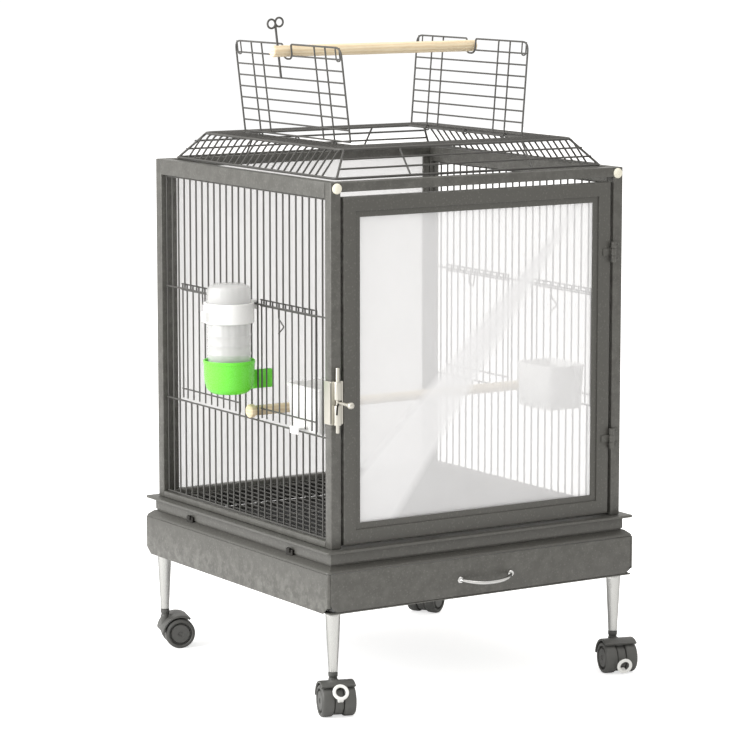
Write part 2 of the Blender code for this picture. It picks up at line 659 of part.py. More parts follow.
def feeder():
    """Bottle feeder outside the left panel: its collar hooks over the upper wire, its trough goes in between bars."""
    place = Matrix.Translation((FEEDER_X, FEEDER_Y, 0))
    pivot = (FEEDER_X, FEEDER_Y, 374.0)
    bottle = [(0, 512), (19, 511.4), (25.5, 508), (28, 501), (28, 384), (26.4, 384), (26.4, 500.2),
              (24.4, 506.2), (18.6, 509.6), (0, 510.2)]
    piece("feeder_tube", turned(bottle, 20, place), "clear_acrylic", pivot)
    bowl = [(0, 376.2), (28.5, 376.2), (30.2, 378.6), (30.7, 384), (30.7, 416), (32.5, 416), (32.5, 382),
            (31.4, 376.6), (28.6, 374), (0, 374)]
    cup = piece("feeder_cup", turned(bowl, 20, place), "green_plastic", pivot)
    join(cup, box((-217.5, FEEDER_Y - 5.5, 377.0), (-184.0, FEEDER_Y + 5.5, 400.0)))
    cut(cup, box((-221.5, FEEDER_Y - 4.0, 379.0), (-185.6, FEEDER_Y + 4.0, 401.0)))
    ring = [(31.5, 488), (31.5, 463), (28.3, 463), (28.3, 488)]
    collar = piece("feeder_collar", turned(ring, 20, place, closed=True), "white_plastic", pivot)
    wire_top = UPPER_WIRE_Z + WIRE / 2 + GAP
    join(
        collar,
        box((-217.0, FEEDER_Y - 5.0, wire_top), (-206.2, FEEDER_Y + 5.0, wire_top + 3.0)),
        box((-208.2, FEEDER_Y - 5.0, 477.0), (-206.2, FEEDER_Y + 5.0, wire_top + 2.0)),
        box((-284.0, FEEDER_Y - 5.0, 466.0), (-276.6, FEEDER_Y + 5.0, 479.0)),
    )


base()
legs()
castor("castor_front_left", -LEG_XY, -LEG_XY, -108.0, 33.0)
castor("castor_front_right", LEG_XY, -LEG_XY, -105.0, -14.0)
castor("castor_rear_left", -LEG_XY, LEG_XY, -18.0)
castor("castor_rear_right", LEG_XY, LEG_XY, -150.0)
frame()
side_panels()
feeder_doors()
front_door()
latch()
roof()
roof_flaps()
play_perch()
inner_perch()
food_cups()
feeder()
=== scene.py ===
# %% [markdown]
# # A bird cage on a low castor stand
# The cage is bent steel wire, folded sheet steel, clear acrylic and a few moulded fittings. The working parts
# already exist as a fixed frame of plain solids, so this lesson dresses them: each solid gets a finer surface that
# moves with it, and every finish is a small network of shader nodes. All lengths are metres, +Z is up and the
# front of the cage, with its door, faces -Y.

import json
import math

import bmesh
import bpy
import numpy as np
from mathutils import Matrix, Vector


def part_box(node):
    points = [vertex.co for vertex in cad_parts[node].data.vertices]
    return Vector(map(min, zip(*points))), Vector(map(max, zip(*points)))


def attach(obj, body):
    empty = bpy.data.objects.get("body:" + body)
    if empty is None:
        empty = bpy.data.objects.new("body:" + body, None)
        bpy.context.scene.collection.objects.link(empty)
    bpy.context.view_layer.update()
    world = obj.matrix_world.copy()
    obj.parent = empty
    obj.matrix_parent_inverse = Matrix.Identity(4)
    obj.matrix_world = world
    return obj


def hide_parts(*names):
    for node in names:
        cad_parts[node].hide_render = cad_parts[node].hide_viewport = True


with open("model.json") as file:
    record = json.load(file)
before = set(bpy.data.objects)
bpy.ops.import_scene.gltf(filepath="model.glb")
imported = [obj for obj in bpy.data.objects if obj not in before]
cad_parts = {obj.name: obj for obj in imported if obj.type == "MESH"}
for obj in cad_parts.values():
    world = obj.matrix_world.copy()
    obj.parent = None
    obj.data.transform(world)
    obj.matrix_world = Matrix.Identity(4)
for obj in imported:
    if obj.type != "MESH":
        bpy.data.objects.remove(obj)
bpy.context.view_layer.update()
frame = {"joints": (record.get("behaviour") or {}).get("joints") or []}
joints = {joint["name"]: joint for joint in frame["joints"]}
X, Y, Z = np.eye(3)
TAU = math.tau

# %% [markdown]
# ## Surfaces from arrays
# A wire, a folded rim and a turned foot are the same thing to a modeller: a closed outline carried along a path.
# If the outline's points are the columns of an array and the stations along the path are its rows, the faces are
# just neighbours in that array. Building the whole array at once keeps the formula in plain sight, and a stack of
# such arrays makes hundreds of wires in one go.


# %% A closed skin over rows of outlines
def outward(points, faces):
    """The faces, turned round if the signed volume, a sum of a.(b x c) over a fan of every face, is negative."""
    volume = 0.0
    for block in faces:
        first = points[block[:, 0]]
        for k in range(1, block.shape[1] - 1):
            volume += np.sum(first * np.cross(points[block[:, k]], points[block[:, k + 1]]))
    return points, (faces if volume > 0 else [block[:, ::-1] for block in faces])


def skin(grid, loop=False):
    """Points and faces over a (rows, columns, 3) array, or over a stack of them.

    Columns run round the outline and close on themselves. Rows follow the path: they are capped at both ends,
    or with loop the last row joins the first."""
    stack = grid.reshape(-1, *grid.shape[-3:])
    index = np.arange(stack.size // 3).reshape(stack.shape[:3])
    near = index if loop else index[:, :-1]
    far = np.roll(index, -1, 1) if loop else index[:, 1:]
    faces = [np.stack([near, np.roll(near, -1, 2), np.roll(far, -1, 2), far], -1).reshape(-1, 4)]
    if not loop:
        faces += [index[:, 0, ::-1], index[:, -1]]
    return outward(stack.reshape(-1, 3), faces)


def unit(vectors):
    """Each vector divided by its length, so that only its direction is left."""
    return vectors / np.linalg.norm(vectors, axis=-1, keepdims=True)


# %% Making a piece of the object
def mesh_of(name, shapes):
    """One mesh from several (points, faces) shapes: the corner lists are laid end to end."""
    points, corners, sizes, offset = [], [], [], 0
    for shape_points, blocks in shapes:
        for block in blocks:
            corners.append((block + offset).ravel())
            sizes.append(np.full(len(block), block.shape[1]))
        points.append(shape_points)
        offset += len(shape_points)
    corners, sizes = np.concatenate(corners), np.concatenate(sizes)
    mesh = bpy.data.meshes.new(name)
    mesh.vertices.add(offset)
    mesh.vertices.foreach_set("co", np.concatenate(points).astype(np.float32).ravel())
    mesh.loops.add(len(corners))
    mesh.loops.foreach_set("vertex_index", corners.astype(np.int32))
    mesh.polygons.add(len(sizes))
    mesh.polygons.foreach_set("loop_start", (np.cumsum(sizes) - sizes).astype(np.int32))
    mesh.update(calc_edges=True)
    return mesh


def weld(mesh, distance=2e-6):
    """Merges the points that meet at poles and seams, which also removes the faces that collapse there."""
    bm = bmesh.new()
    bm.from_mesh(mesh)
    bmesh.ops.remove_doubles(bm, verts=bm.verts, dist=distance)
    bm.to_mesh(mesh)
    bm.free()


SHARP = math.radians(38)  # edges that turn by more than this stay crisp


def piece(name, shapes, finish, body, *stands_for):
    """A shown piece of the object: it rides on a body and stands for the named plain solids."""
    material, slot = finish
    mesh = mesh_of(name, shapes)
    weld(mesh)
    mesh.materials.append(material)
    mesh.shade_smooth()
    mesh.set_sharp_from_angle(angle=SHARP)
    obj = bpy.data.objects.new(name, mesh)
    bpy.context.scene.collection.objects.link(obj)
    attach(obj, body)
    if stands_for:
        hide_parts(*stands_for)
    print(f"{name}: {len(mesh.polygons)} faces on {body}")
    return obj


def box_of(node):
    """The lowest and the highest corner of a plain solid, as arrays."""
    low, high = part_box(node)
    return np.array(low), np.array(high)


# %% [markdown]
# ## Outlines and paths
# Nothing that is bent or folded has a truly sharp corner, and the highlight along a small radius is most of what
# makes steel look like steel. So one helper rounds the corners of any list of points, and the same helper serves
# wire bends, lathe profiles and sheet outlines.


# %% Rounding corners
def rounded(points, radius, closed=False, steps=4):
    """The points with each corner P replaced by a curve (1-t)^2 A + 2t(1-t) P + t^2 C that starts and ends a
    radius away from P, or a little under half of the shorter side."""
    points = np.asarray(points, float)
    before, after = np.roll(points, 1, 0) - points, np.roll(points, -1, 0) - points
    reach_before, reach_after = np.linalg.norm(before, axis=1), np.linalg.norm(after, axis=1)
    cut = np.minimum(np.broadcast_to(radius, len(points)), 0.48 * np.minimum(reach_before, reach_after))
    start = points + before * (cut / reach_before)[:, None]
    end = points + after * (cut / reach_after)[:, None]
    t = np.linspace(0, 1, steps + 1)[None, :, None]
    bends = (1 - t) ** 2 * start[:, None] + 2 * t * (1 - t) * points[:, None] + t**2 * end[:, None]
    if closed:
        return bends.reshape(-1, points.shape[1])
    middle = bends[1:-1].reshape(-1, points.shape[1])
    return np.concatenate([points[:1], middle, points[-1:]])


def outline(half_u, half_v, radius, steps=4):
    """A rectangle with round corners: each corner's arc runs about its own centre, a radius in from both sides."""
    angle = (np.arange(4)[:, None] * TAU / 4 + np.linspace(0, TAU / 4, steps)).ravel()
    sign_u, sign_v = np.repeat([1, -1, -1, 1], steps), np.repeat([1, 1, -1, -1], steps)
    return np.stack([
        sign_u * (half_u - radius) + radius * np.cos(angle),
        sign_v * (half_v - radius) + radius * np.sin(angle),
    ], -1)


# %% Wires
def rods(starts, ends, radius, sides=8):
    """Straight round wires, any number at once: a circle about each axis at four stations, the outer two drawn in
    so that the cut ends are a little rounded."""
    starts, ends = np.broadcast_arrays(np.atleast_2d(starts), np.atleast_2d(ends))
    along = unit(ends - starts)
    helper = np.where(np.abs(along[:, 2:]) < 0.9, Z, X)
    side = unit(np.cross(along, helper))
    rise = np.cross(side, along)
    angle = np.arange(sides) * TAU / sides
    ring = np.cos(angle)[:, None] * side[:, None] + np.sin(angle)[:, None] * rise[:, None]
    bite = 0.35 * radius * along
    centre = np.stack([starts, starts + bite, ends - bite, ends], 1)
    size = radius * np.array([0.6, 1.0, 1.0, 0.6])[None, :, None, None]
    return skin(centre[:, :, None] + size * ring[:, None])


def bent(path, radius, normal, loop=False, sides=10):
    """A wire bent in one plane: each ring is centre + r (cos a) n + r (sin a) (t x n), with n the plane's normal
    and t the path's direction there."""
    path = np.asarray(path, float)
    ahead = np.roll(path, -1, 0) - np.roll(path, 1, 0) if loop else np.gradient(path, axis=0)
    tangent = unit(ahead)
    normal = unit(np.asarray(normal, float))
    across = unit(np.cross(tangent, normal))
    angle = np.arange(sides) * TAU / sides
    ring = np.cos(angle)[:, None] * normal + np.sin(angle)[:, None] * across[:, None]
    size = np.broadcast_to(radius, len(path))[:, None, None]
    return skin(path[:, None] + size * ring, loop)


# %% Turned and block shapes
def turned(profile, centre, axis=Z, sides=32, closed=False, start=None):
    """A lathe: a (radius, height) profile swept about an axis. A closed profile makes a ring."""
    axis = unit(np.asarray(axis, float))
    across = unit(np.cross(axis, X if abs(axis[0]) < 0.9 else Y)) if start is None else start
    other = np.cross(axis, across)
    angle = np.arange(sides) * TAU / sides
    ring = np.cos(angle)[:, None] * across + np.sin(angle)[:, None] * other
    radius, height = np.asarray(profile, float).T
    grid = np.asarray(centre) + height[:, None, None] * axis + radius[:, None, None] * ring
    return skin(grid, closed)


def block(low, high, edge=0.0008, corner=None, along=2):
    """A bar or slab with eased edges: a rounded rectangle stacked along one axis, drawn in near both ends by a
    quarter circle of the edge radius."""
    low, high = np.asarray(low, float), np.asarray(high, float)
    u, v = (along + 1) % 3, (along + 2) % 3
    middle, half = (low + high) / 2, (high - low) / 2
    corner = edge if corner is None else corner
    turn = np.linspace(0, TAU / 4, 4)
    inset = np.concatenate([edge * (1 - np.sin(turn)), edge * (1 - np.sin(turn[::-1]))])
    height = np.concatenate([low[along] + edge * (1 - np.cos(turn)), high[along] - edge * (1 - np.cos(turn[::-1]))])
    flat = outline(half[u], half[v], corner)
    grid = np.empty((len(inset), len(flat), 3))
    shrink = 1 - inset[:, None] / np.array([half[u], half[v]])
    grid[:, :, u] = middle[u] + flat[:, 0] * shrink[:, :1]
    grid[:, :, v] = middle[v] + flat[:, 1] * shrink[:, 1:]
    grid[:, :, along] = height[:, None]
    return skin(grid)


def vessel(levels, centre, half_x, half_y, corner):
    """An open tray or cup: the same rounded rectangle at each (inset, z) level, from the outer floor up the wall,
    over the rim and down to the inner floor."""
    rows = []
    for inset, z in levels:
        flat = outline(half_x - inset, half_y - inset, max(corner - inset, 0.0004), 6)
        rows.append(np.column_stack([flat + np.asarray(centre)[:2], np.full(len(flat), z)]))
    return skin(np.array(rows))


# %% [markdown]
# ## Folded sheet round a square
# The base and its flange are steel sheet folded and run round a square. The plan of such a rim is a square with
# round corners whose radius shrinks for the inner layers, and the section is a closed list of (half width, height)
# points. The drawer needs an open front, so the same rim can also stop at two jambs.


# %% Rims round a square
def rim(section, radius, steps=6, jamb=None, trim=0.0, trim_below=0.0, margin=0.010):
    """A section of (half width, z) points carried clockwise round a square, or from jamb to jamb if it is open.

    A corner's point is its arc centre plus r (cos a, sin a). trim lifts the points under trim_below at each
    corner, which cuts the corner off in elevation."""
    half, z = np.asarray(section, float).T
    r = np.maximum(radius - (half.max() - half), 0.0003)
    arc = np.linspace(0, -TAU / 4, steps)
    turn = np.concatenate([arc[:1], arc, arc[-1:]])
    slide = np.concatenate([[-margin], np.zeros(steps), [margin]])
    near = np.concatenate([[0.0], np.ones(steps), [0.0]])
    rows, weights = [], []
    for corner, (sx, sy) in enumerate(((-1, -1), (-1, 1), (1, 1), (1, -1))):
        angle = (0.75 - 0.25 * corner) * TAU + turn
        x = sx * (half - r) + r * np.cos(angle)[:, None] + (slide * np.sin(angle))[:, None]
        y = sy * (half - r) + r * np.sin(angle)[:, None] - (slide * np.cos(angle))[:, None]
        rows.append(np.stack([x, y, np.broadcast_to(z, x.shape)], -1))
        weights.append(near)
    grid, weight = np.concatenate(rows), np.concatenate(weights)
    if jamb is not None:
        front = np.stack([np.full(len(half), jamb), -half, z], -1)
        grid = np.concatenate([front[None] * (-1, 1, 1), grid[1:-1], front[None]])
        weight = np.concatenate([[1.0], weight[1:-1], [1.0]])
    grid[:, :, 2] += trim * weight[:, None] * (z < trim_below)
    return skin(grid, loop=jamb is None)


print("helpers ready")

# %% [markdown]
# ## Shader building blocks
# A finish is colour, gloss and a little relief that change over the surface. The parts that several finishes share
# are node groups: hammered relief, patchy tone, worn edges with a painted highlight, wood grain and brushing. Each
# group takes a position on the object and puts out plain masks, and the shader itself stays in the material.


# %% Small helpers for node networks
def new_group(name, inputs, outputs):
    """An empty shader group with the named float, vector or colour sockets."""
    tree = bpy.data.node_groups.new(name, "ShaderNodeTree")
    kinds = {"F": "NodeSocketFloat", "V": "NodeSocketVector", "C": "NodeSocketColor"}
    for way, sockets in (("INPUT", inputs), ("OUTPUT", outputs)):
        for socket, kind in sockets.items():
            tree.interface.new_socket(name=socket, in_out=way, socket_type=kinds[kind])
    return tree, tree.nodes.new("NodeGroupInput"), tree.nodes.new("NodeGroupOutput")


def feed(tree, socket, what):
    """Joins an output socket to an input, or sets the input to a plain value."""
    if isinstance(what, bpy.types.NodeSocket):
        tree.links.new(what, socket)
    else:
        socket.default_value = what


def node(tree, kind, links=(), **settings):
    """A node with its settings, and each (input, output socket or value) of links joined or set."""
    made = tree.nodes.new(kind)
    for key, value in settings.items():
        setattr(made, key, value)
    for where, what in links:
        feed(tree, made.inputs[where], what)
    return made


def math_node(tree, operation, a, b=0.0, c=0.0, clamp=False):
    """One sum, product or a*b+c of sockets or numbers, held between 0 and 1 with clamp."""
    return node(tree, "ShaderNodeMath", [(0, a), (1, b), (2, c)], operation=operation, use_clamp=clamp).outputs[0]


def vector_math(tree, operation, a, b):
    """One sum, product or dot product of two vectors."""
    made = node(tree, "ShaderNodeVectorMath", [(0, a), (1, b)], operation=operation)
    return made.outputs["Value" if operation == "DOT_PRODUCT" else "Vector"]


def noise(tree, vector, scale, detail=3.0, rough=0.5):
    """Cloudy values about 0.5: each octave of detail is half as wide and rough times as strong as the last."""
    links = [("Vector", vector), ("Scale", scale), ("Detail", detail), ("Roughness", rough)]
    return node(tree, "ShaderNodeTexNoise", links).outputs["Fac"]


def stretch(tree, value, low, high, to_low=0.0, to_high=1.0):
    """value from low..high laid out on to_low..to_high, clamped."""
    links = [("Value", value), ("From Min", low), ("From Max", high), ("To Min", to_low), ("To Max", to_high)]
    return node(tree, "ShaderNodeMapRange", links).outputs["Result"]


# %% Hammered relief
def make_hammered():
    """Smooth Voronoi cells a few millimetres wide, bent by noise, as beads of paint: height, and a pale fleck
    where the bead is high."""
    tree, given, out = new_group("hammered", {"Position": "V", "Beads per metre": "F"}, {"Height": "F", "Fleck": "F"})
    wobble = node(tree, "ShaderNodeTexNoise", [("Vector", given.outputs["Position"]), ("Scale", 160.0)])
    shift = vector_math(tree, "MULTIPLY", wobble.outputs["Color"], (0.0022,) * 3)
    place = vector_math(tree, "ADD", given.outputs["Position"], shift)
    cells = node(tree, "ShaderNodeTexVoronoi",
                 [("Vector", place), ("Scale", given.outputs["Beads per metre"]), ("Smoothness", 0.7)],
                 feature="SMOOTH_F1")
    bead = math_node(tree, "SUBTRACT", 1.0, cells.outputs["Distance"], clamp=True)
    grit = noise(tree, place, 900.0, 2.0)
    height = math_node(tree, "MULTIPLY_ADD", grit, 0.25, bead)
    fleck = stretch(tree, math_node(tree, "MULTIPLY_ADD", grit, 0.55, bead), 0.95, 1.25)
    tree.links.new(height, out.inputs["Height"])
    tree.links.new(fleck, out.inputs["Fleck"])
    return tree


def make_patchy():
    """Two octaves of noise, broad and fine, as one value about 1: paint thickness, handling and dust."""
    tree, given, out = new_group("patchy", {"Position": "V", "Scale": "F", "Amount": "F"}, {"Tone": "F"})
    broad = noise(tree, given.outputs["Position"], given.outputs["Scale"], 2.0)
    fine = noise(tree, given.outputs["Position"], math_node(tree, "MULTIPLY", given.outputs["Scale"], 9.0), 4.0, 0.6)
    both = math_node(tree, "MULTIPLY_ADD", fine, 0.5, math_node(tree, "MULTIPLY_ADD", broad, 1.0, -0.75))
    tree.links.new(math_node(tree, "MULTIPLY_ADD", both, given.outputs["Amount"], 1.0), out.inputs["Tone"])
    return tree


def make_wear_and_glint():
    """A mask for worn edges that also paints a highlight along them: where the surface is convex, broken up by noise.
    """
    tree, given, out = new_group("wear_and_glint", {"Position": "V", "From": "F", "To": "F"}, {"Mask": "F"})
    convex = node(tree, "ShaderNodeNewGeometry").outputs["Pointiness"]
    wear_and_glint_mask = stretch(tree, convex, given.outputs["From"], given.outputs["To"])
    broken = stretch(tree, noise(tree, given.outputs["Position"], 70.0, 5.0, 0.7), 0.42, 0.62)
    tree.links.new(math_node(tree, "MULTIPLY", wear_and_glint_mask, broken), out.inputs["Mask"])
    return tree


def make_grain():
    """Wood seen along its length: rings squeezed across the stick and drawn out along it, with short dark pores."""
    tree, given, out = new_group("grain", {"Position": "V", "Rings": "F"}, {"Ring": "F", "Pore": "F"})
    squeezed = vector_math(tree, "MULTIPLY", given.outputs["Position"], (0.10, 1.0, 1.0))
    bend = node(tree, "ShaderNodeTexNoise", [("Vector", squeezed), ("Scale", 90.0), ("Detail", 3.0)])
    place = vector_math(tree, "ADD", squeezed, vector_math(tree, "MULTIPLY", bend.outputs["Color"], (0.004,) * 3))
    rings = node(tree, "ShaderNodeTexWave", [("Vector", place), ("Scale", given.outputs["Rings"]), ("Distortion", 3.0),
                                             ("Detail", 3.0), ("Detail Scale", 2.0)],
                 wave_type="BANDS", bands_direction="Z")
    long_thin = vector_math(tree, "MULTIPLY", given.outputs["Position"], (0.05, 1.0, 1.0))
    pore = stretch(tree, noise(tree, long_thin, 900.0, 2.0), 0.62, 0.74)
    tree.links.new(rings.outputs["Fac"], out.inputs["Ring"])
    tree.links.new(pore, out.inputs["Pore"])
    return tree


def make_brushed():
    """Fine scratches drawn out along Z: noise on a position squeezed along that axis."""
    tree, given, out = new_group("brushed", {"Position": "V", "Lines per metre": "F"}, {"Line": "F"})
    drawn = vector_math(tree, "MULTIPLY", given.outputs["Position"], (1.0, 1.0, 0.03))
    tree.links.new(noise(tree, drawn, given.outputs["Lines per metre"], 3.0, 0.7), out.inputs["Line"])
    return tree


GROUPS = {"hammered": make_hammered(), "patchy": make_patchy(), "wear_and_glint": make_wear_and_glint(), "grain": make_grain(),
          "brushed": make_brushed()}
print("node groups:", sorted(GROUPS))


# %% A material with its position input
def start_material(name, **constants):
    """A material with a Principled shader, its fixed values set on the shader's own sockets."""
    material = bpy.data.materials.new(name)
    material.use_nodes = True
    tree = material.node_tree
    shader = tree.nodes["Principled BSDF"]
    for socket, value in constants.items():
        shader.inputs[socket.replace("_", " ")].default_value = value
    position = tree.nodes.new("ShaderNodeTexCoord").outputs["Object"]
    return material, tree, shader, position


def group(tree, name, *values):
    """A copy of a shared group in this material, its inputs given in order."""
    made = tree.nodes.new("ShaderNodeGroup")
    made.node_tree = GROUPS[name]
    for socket, value in zip(made.inputs, values):
        feed(tree, socket, value)
    return made.outputs


def tinted(tree, color, tone):
    """A colour multiplied by a tone."""
    return vector_math(tree, "MULTIPLY", color, tone)


def join(tree, shader, color, roughness, normal):
    """Wires the three outputs of a finish to the shader."""
    for socket, value in (("Base Color", color), ("Roughness", roughness), ("Normal", normal)):
        tree.links.new(value, shader.inputs[socket])


def mixed(tree, factor, a, b):
    """The colour (1 - factor) a + factor b."""
    made = node(tree, "ShaderNodeMix", data_type="RGBA")
    for index, value in ((0, factor), (6, a), (7, b)):  # the sockets of the colour mix
        feed(tree, made.inputs[index], value)
    return made.outputs[2]


def bump(tree, height, distance, strength=1.0):
    """A normal tilted by the slope of height times distance, in metres."""
    links = [("Height", height), ("Distance", distance), ("Strength", strength)]
    return node(tree, "ShaderNodeBump", links).outputs[0]


# %% [markdown]
# ## Finishes
# The frame, door and base share one dark hammertone paint: beads a few millimetres across, pale flecks, and convex
# edges lightened as worn paint and as a painted highlight. The wire has a thinner powder coat of the same colour.
# Nickel, chrome and the polished legs are metals, told apart by roughness and darkened by painted shade where they
# turn away from the view. The plastics differ in colour and in how softly they let light in; the clear acrylic
# carries a painted reflection of the white surround.


# %% Paints
def hammertone():
    """Dark paint dried in beads: colour = base x tone, lighter on flecks and on convex edges, as worn paint and a
    painted highlight.
    """
    material, tree, shader, at = start_material("hammertone_paint", Metallic=0.15, Coat_Weight=0.25,
                                                Coat_Roughness=0.25)
    height, fleck = group(tree, "hammered", at, 260.0)
    tone = group(tree, "patchy", at, 7.0, 0.10)[0]
    # worn paint and painted highlight: convex edges are lightened
    wear_and_glint_mask = group(tree, "wear_and_glint", at, 0.52, 0.60)[0]
    base = tinted(tree, (0.086, 0.084, 0.0755), tone)
    flecked = mixed(tree, math_node(tree, "MULTIPLY", fleck, 0.20), base, (0.28, 0.275, 0.25, 1))
    edged = mixed(tree, math_node(tree, "MULTIPLY", wear_and_glint_mask, 0.30), flecked, (0.30, 0.295, 0.275, 1))
    join(tree, shader, edged, stretch(tree, fleck, 0.0, 1.0, 0.46, 0.34), bump(tree, height, 0.00025, 0.5))
    return material


def powder_coat():
    """The wire's thinner coat: base x tone with a fine grit."""
    material, tree, shader, at = start_material("wire_powder_coat", Metallic=0.15)
    tone = group(tree, "patchy", at, 14.0, 0.35)[0]
    grit = noise(tree, at, 1400.0, 2.0)
    join(tree, shader, tinted(tree, (0.085, 0.083, 0.078), tone), stretch(tree, grit, 0.3, 0.7, 0.34, 0.48),
         bump(tree, grit, 0.00008, 0.4))
    return material


# %% Metals
def metal(name, color, rough_low, rough_high, lines, tone_amount=0.1, painted_rim_shade=0.75):
    """A bare metal, brushed lightly along its height, with painted shade: its colour darkens to painted_rim_shade
    where the surface turns away from the view.
    """
    material, tree, shader, at = start_material(name, Metallic=1.0)
    line = group(tree, "brushed", at, lines)[0]
    tone = group(tree, "patchy", at, 25.0, tone_amount)[0]
    # painted shade: the colour darkens towards the silhouette, where the surface turns away from the view
    painted_shade_facing = node(tree, "ShaderNodeLayerWeight", [("Blend", 0.42)]).outputs["Facing"]
    painted_edge_shade = stretch(tree, painted_shade_facing, 0.25, 0.95, 1.0, painted_rim_shade)
    join(tree, shader, tinted(tree, tinted(tree, color, tone), painted_edge_shade),
         stretch(tree, line, 0.3, 0.7, rough_low, rough_high), bump(tree, line, 0.00003, 0.25))
    return material


# %% Plastics and acrylic
def moulded(name, color, rough=0.35, tone_amount=0.06, subsurface=0.0, texture=0.00006, texture_scale=700.0):
    """Moulded plastic: an even colour with faint flow marks and a fine texture from the mould."""
    material, tree, shader, at = start_material(name, Subsurface_Weight=subsurface, Subsurface_Radius=(0.004,) * 3)
    tone = group(tree, "patchy", at, 18.0, tone_amount)[0]
    grain = noise(tree, at, texture_scale, 3.0, 0.6)
    join(tree, shader, tinted(tree, color, tone), stretch(tree, grain, 0.3, 0.7, rough - 0.05, rough + 0.08),
         bump(tree, grain, texture, 0.5))
    return material


SOFT_EDGE = 0.006  # half the width over which the painted glare turns denser


def acrylic_with_painted_glare(name, color, alpha_low, alpha_high=None, glare_lines=(), rough=0.06):
    """Clear acrylic with a painted reflection: a see-through white gloss whose colour stands in for the white surround
    reflected in it. glare_lines are (direction, distance) lines on the sheet, and the painted glare is denser on the
    far side of all of them."""
    material, tree, shader, at = start_material(name, Coat_Weight=0.3, Coat_Roughness=0.02)
    tone = group(tree, "patchy", at, 5.0, 0.03)[0]
    tree.links.new(tinted(tree, color, tone), shader.inputs["Base Color"])
    smear = noise(tree, at, 9.0, 3.0, 0.5)
    tree.links.new(stretch(tree, smear, 0.3, 0.7, rough, rough + 0.05), shader.inputs["Roughness"])
    glare_band_mask = 0.0
    for direction, distance in glare_lines:
        along = vector_math(tree, "DOT_PRODUCT", at, direction)
        step = stretch(tree, along, distance - SOFT_EDGE, distance + SOFT_EDGE)
        glare_band_mask = step if glare_band_mask == 0.0 else math_node(tree, "MULTIPLY", glare_band_mask, step)
    level = math_node(tree, "MULTIPLY_ADD", glare_band_mask, (alpha_high or alpha_low) - alpha_low, alpha_low)
    # painted reflection: noise makes the painted glare a little uneven
    painted_glare_wobble = math_node(tree, "MULTIPLY_ADD", smear, 0.10, -0.05)
    tree.links.new(math_node(tree, "ADD", painted_glare_wobble, level, clamp=True), shader.inputs["Alpha"])
    return material


# %% Wood
def wood():
    """Pale beech: two colours mixed by the rings, darker in the pores."""
    material, tree, shader, at = start_material("pale_wood", Subsurface_Weight=0.05, Subsurface_Radius=(0.003,) * 3)
    ring, pore = group(tree, "grain", at, 75.0)
    tone = group(tree, "patchy", at, 12.0, 0.25)[0]
    pale = mixed(tree, ring, (0.90, 0.77, 0.55, 1), (0.80, 0.64, 0.42, 1))
    dotted = mixed(tree, math_node(tree, "MULTIPLY", pore, 0.35), pale, (0.42, 0.27, 0.13, 1))
    relief = math_node(tree, "MULTIPLY_ADD", pore, -0.8, ring)
    join(tree, shader, tinted(tree, dotted, tone), stretch(tree, ring, 0.0, 1.0, 0.52, 0.66),
         bump(tree, relief, 0.00012, 0.5))
    return material


# %% Every finish with the name of its slot
PAINT = (hammertone(), "hammered_grey")
COAT = (powder_coat(), "wire_grey")
NICKEL = (metal("nickel_plate", (0.62, 0.60, 0.54), 0.34, 0.48, 900.0), "nickel")
CHROME = (metal("bright_chrome", (0.66, 0.66, 0.65), 0.10, 0.20, 500.0, 0.04, 0.40), "chrome")
SILVER = (metal("polished_leg", (0.60, 0.60, 0.585), 0.20, 0.30, 700.0, 0.05, 0.30), "leg_silver")
CREAM = (moulded("cream_plastic", (0.86, 0.83, 0.70), 0.38, 0.08, 0.1), "cream_plastic")
WHITE = (moulded("white_plastic", (0.90, 0.90, 0.89), 0.30, 0.05, 0.15), "white_plastic")
GREEN = (moulded("green_plastic", (0.17, 0.78, 0.055), 0.26, 0.06, 0.2), "green_plastic")
NYLON = (moulded("castor_nylon", (0.085, 0.085, 0.080), 0.42, 0.25, 0.0, 0.00015, 900.0), "castor_nylon")
PEDAL = (moulded("pedal_plastic", (0.80, 0.80, 0.78), 0.40, 0.10, 0.1), "pedal_grey")
TRAY = (moulded("tray_plastic", (0.16, 0.16, 0.16), 0.45, 0.20, 0.0, 0.0001, 600.0), "tray_plastic")
WOOD = (wood(), "pale_wood")
# painted reflection: each acrylic's see-through white colour and alpha stand in for the white surround reflected in
# it, and the door pane's two lines bound a denser painted glare
BOTTLE = (acrylic_with_painted_glare("bottle_acrylic", (0.80, 0.80, 0.795), 0.42), "clear_acrylic")
REAR = (acrylic_with_painted_glare("rear_acrylic", (0.80, 0.79, 0.80), 0.40), "clear_acrylic")
BLACKENED = (metal("blackened_steel", (0.045, 0.043, 0.040), 0.35, 0.50, 600.0), "wire_grey")
PANE = (acrylic_with_painted_glare("door_acrylic", (0.93, 0.93, 0.945), 0.50, 0.80, [((-0.8025, 0.0, 0.5967), 0.2375),
                                                                  ((0.69, 0.0, -0.72), -0.329)]), "clear_acrylic")
print("finishes:", len(bpy.data.materials))

# %% [markdown]
# ## The base
# A square housing of two millimetre steel: an upright neck at the top, a sloping shoulder and a deep skirt, folded
# inward at the bottom to a stiff ledge. It is made as two sheets with a dark step where they lap, and the skirt's
# lower corners are cut off so that it clears the castors. Two small catches on the left hold the cage to it.

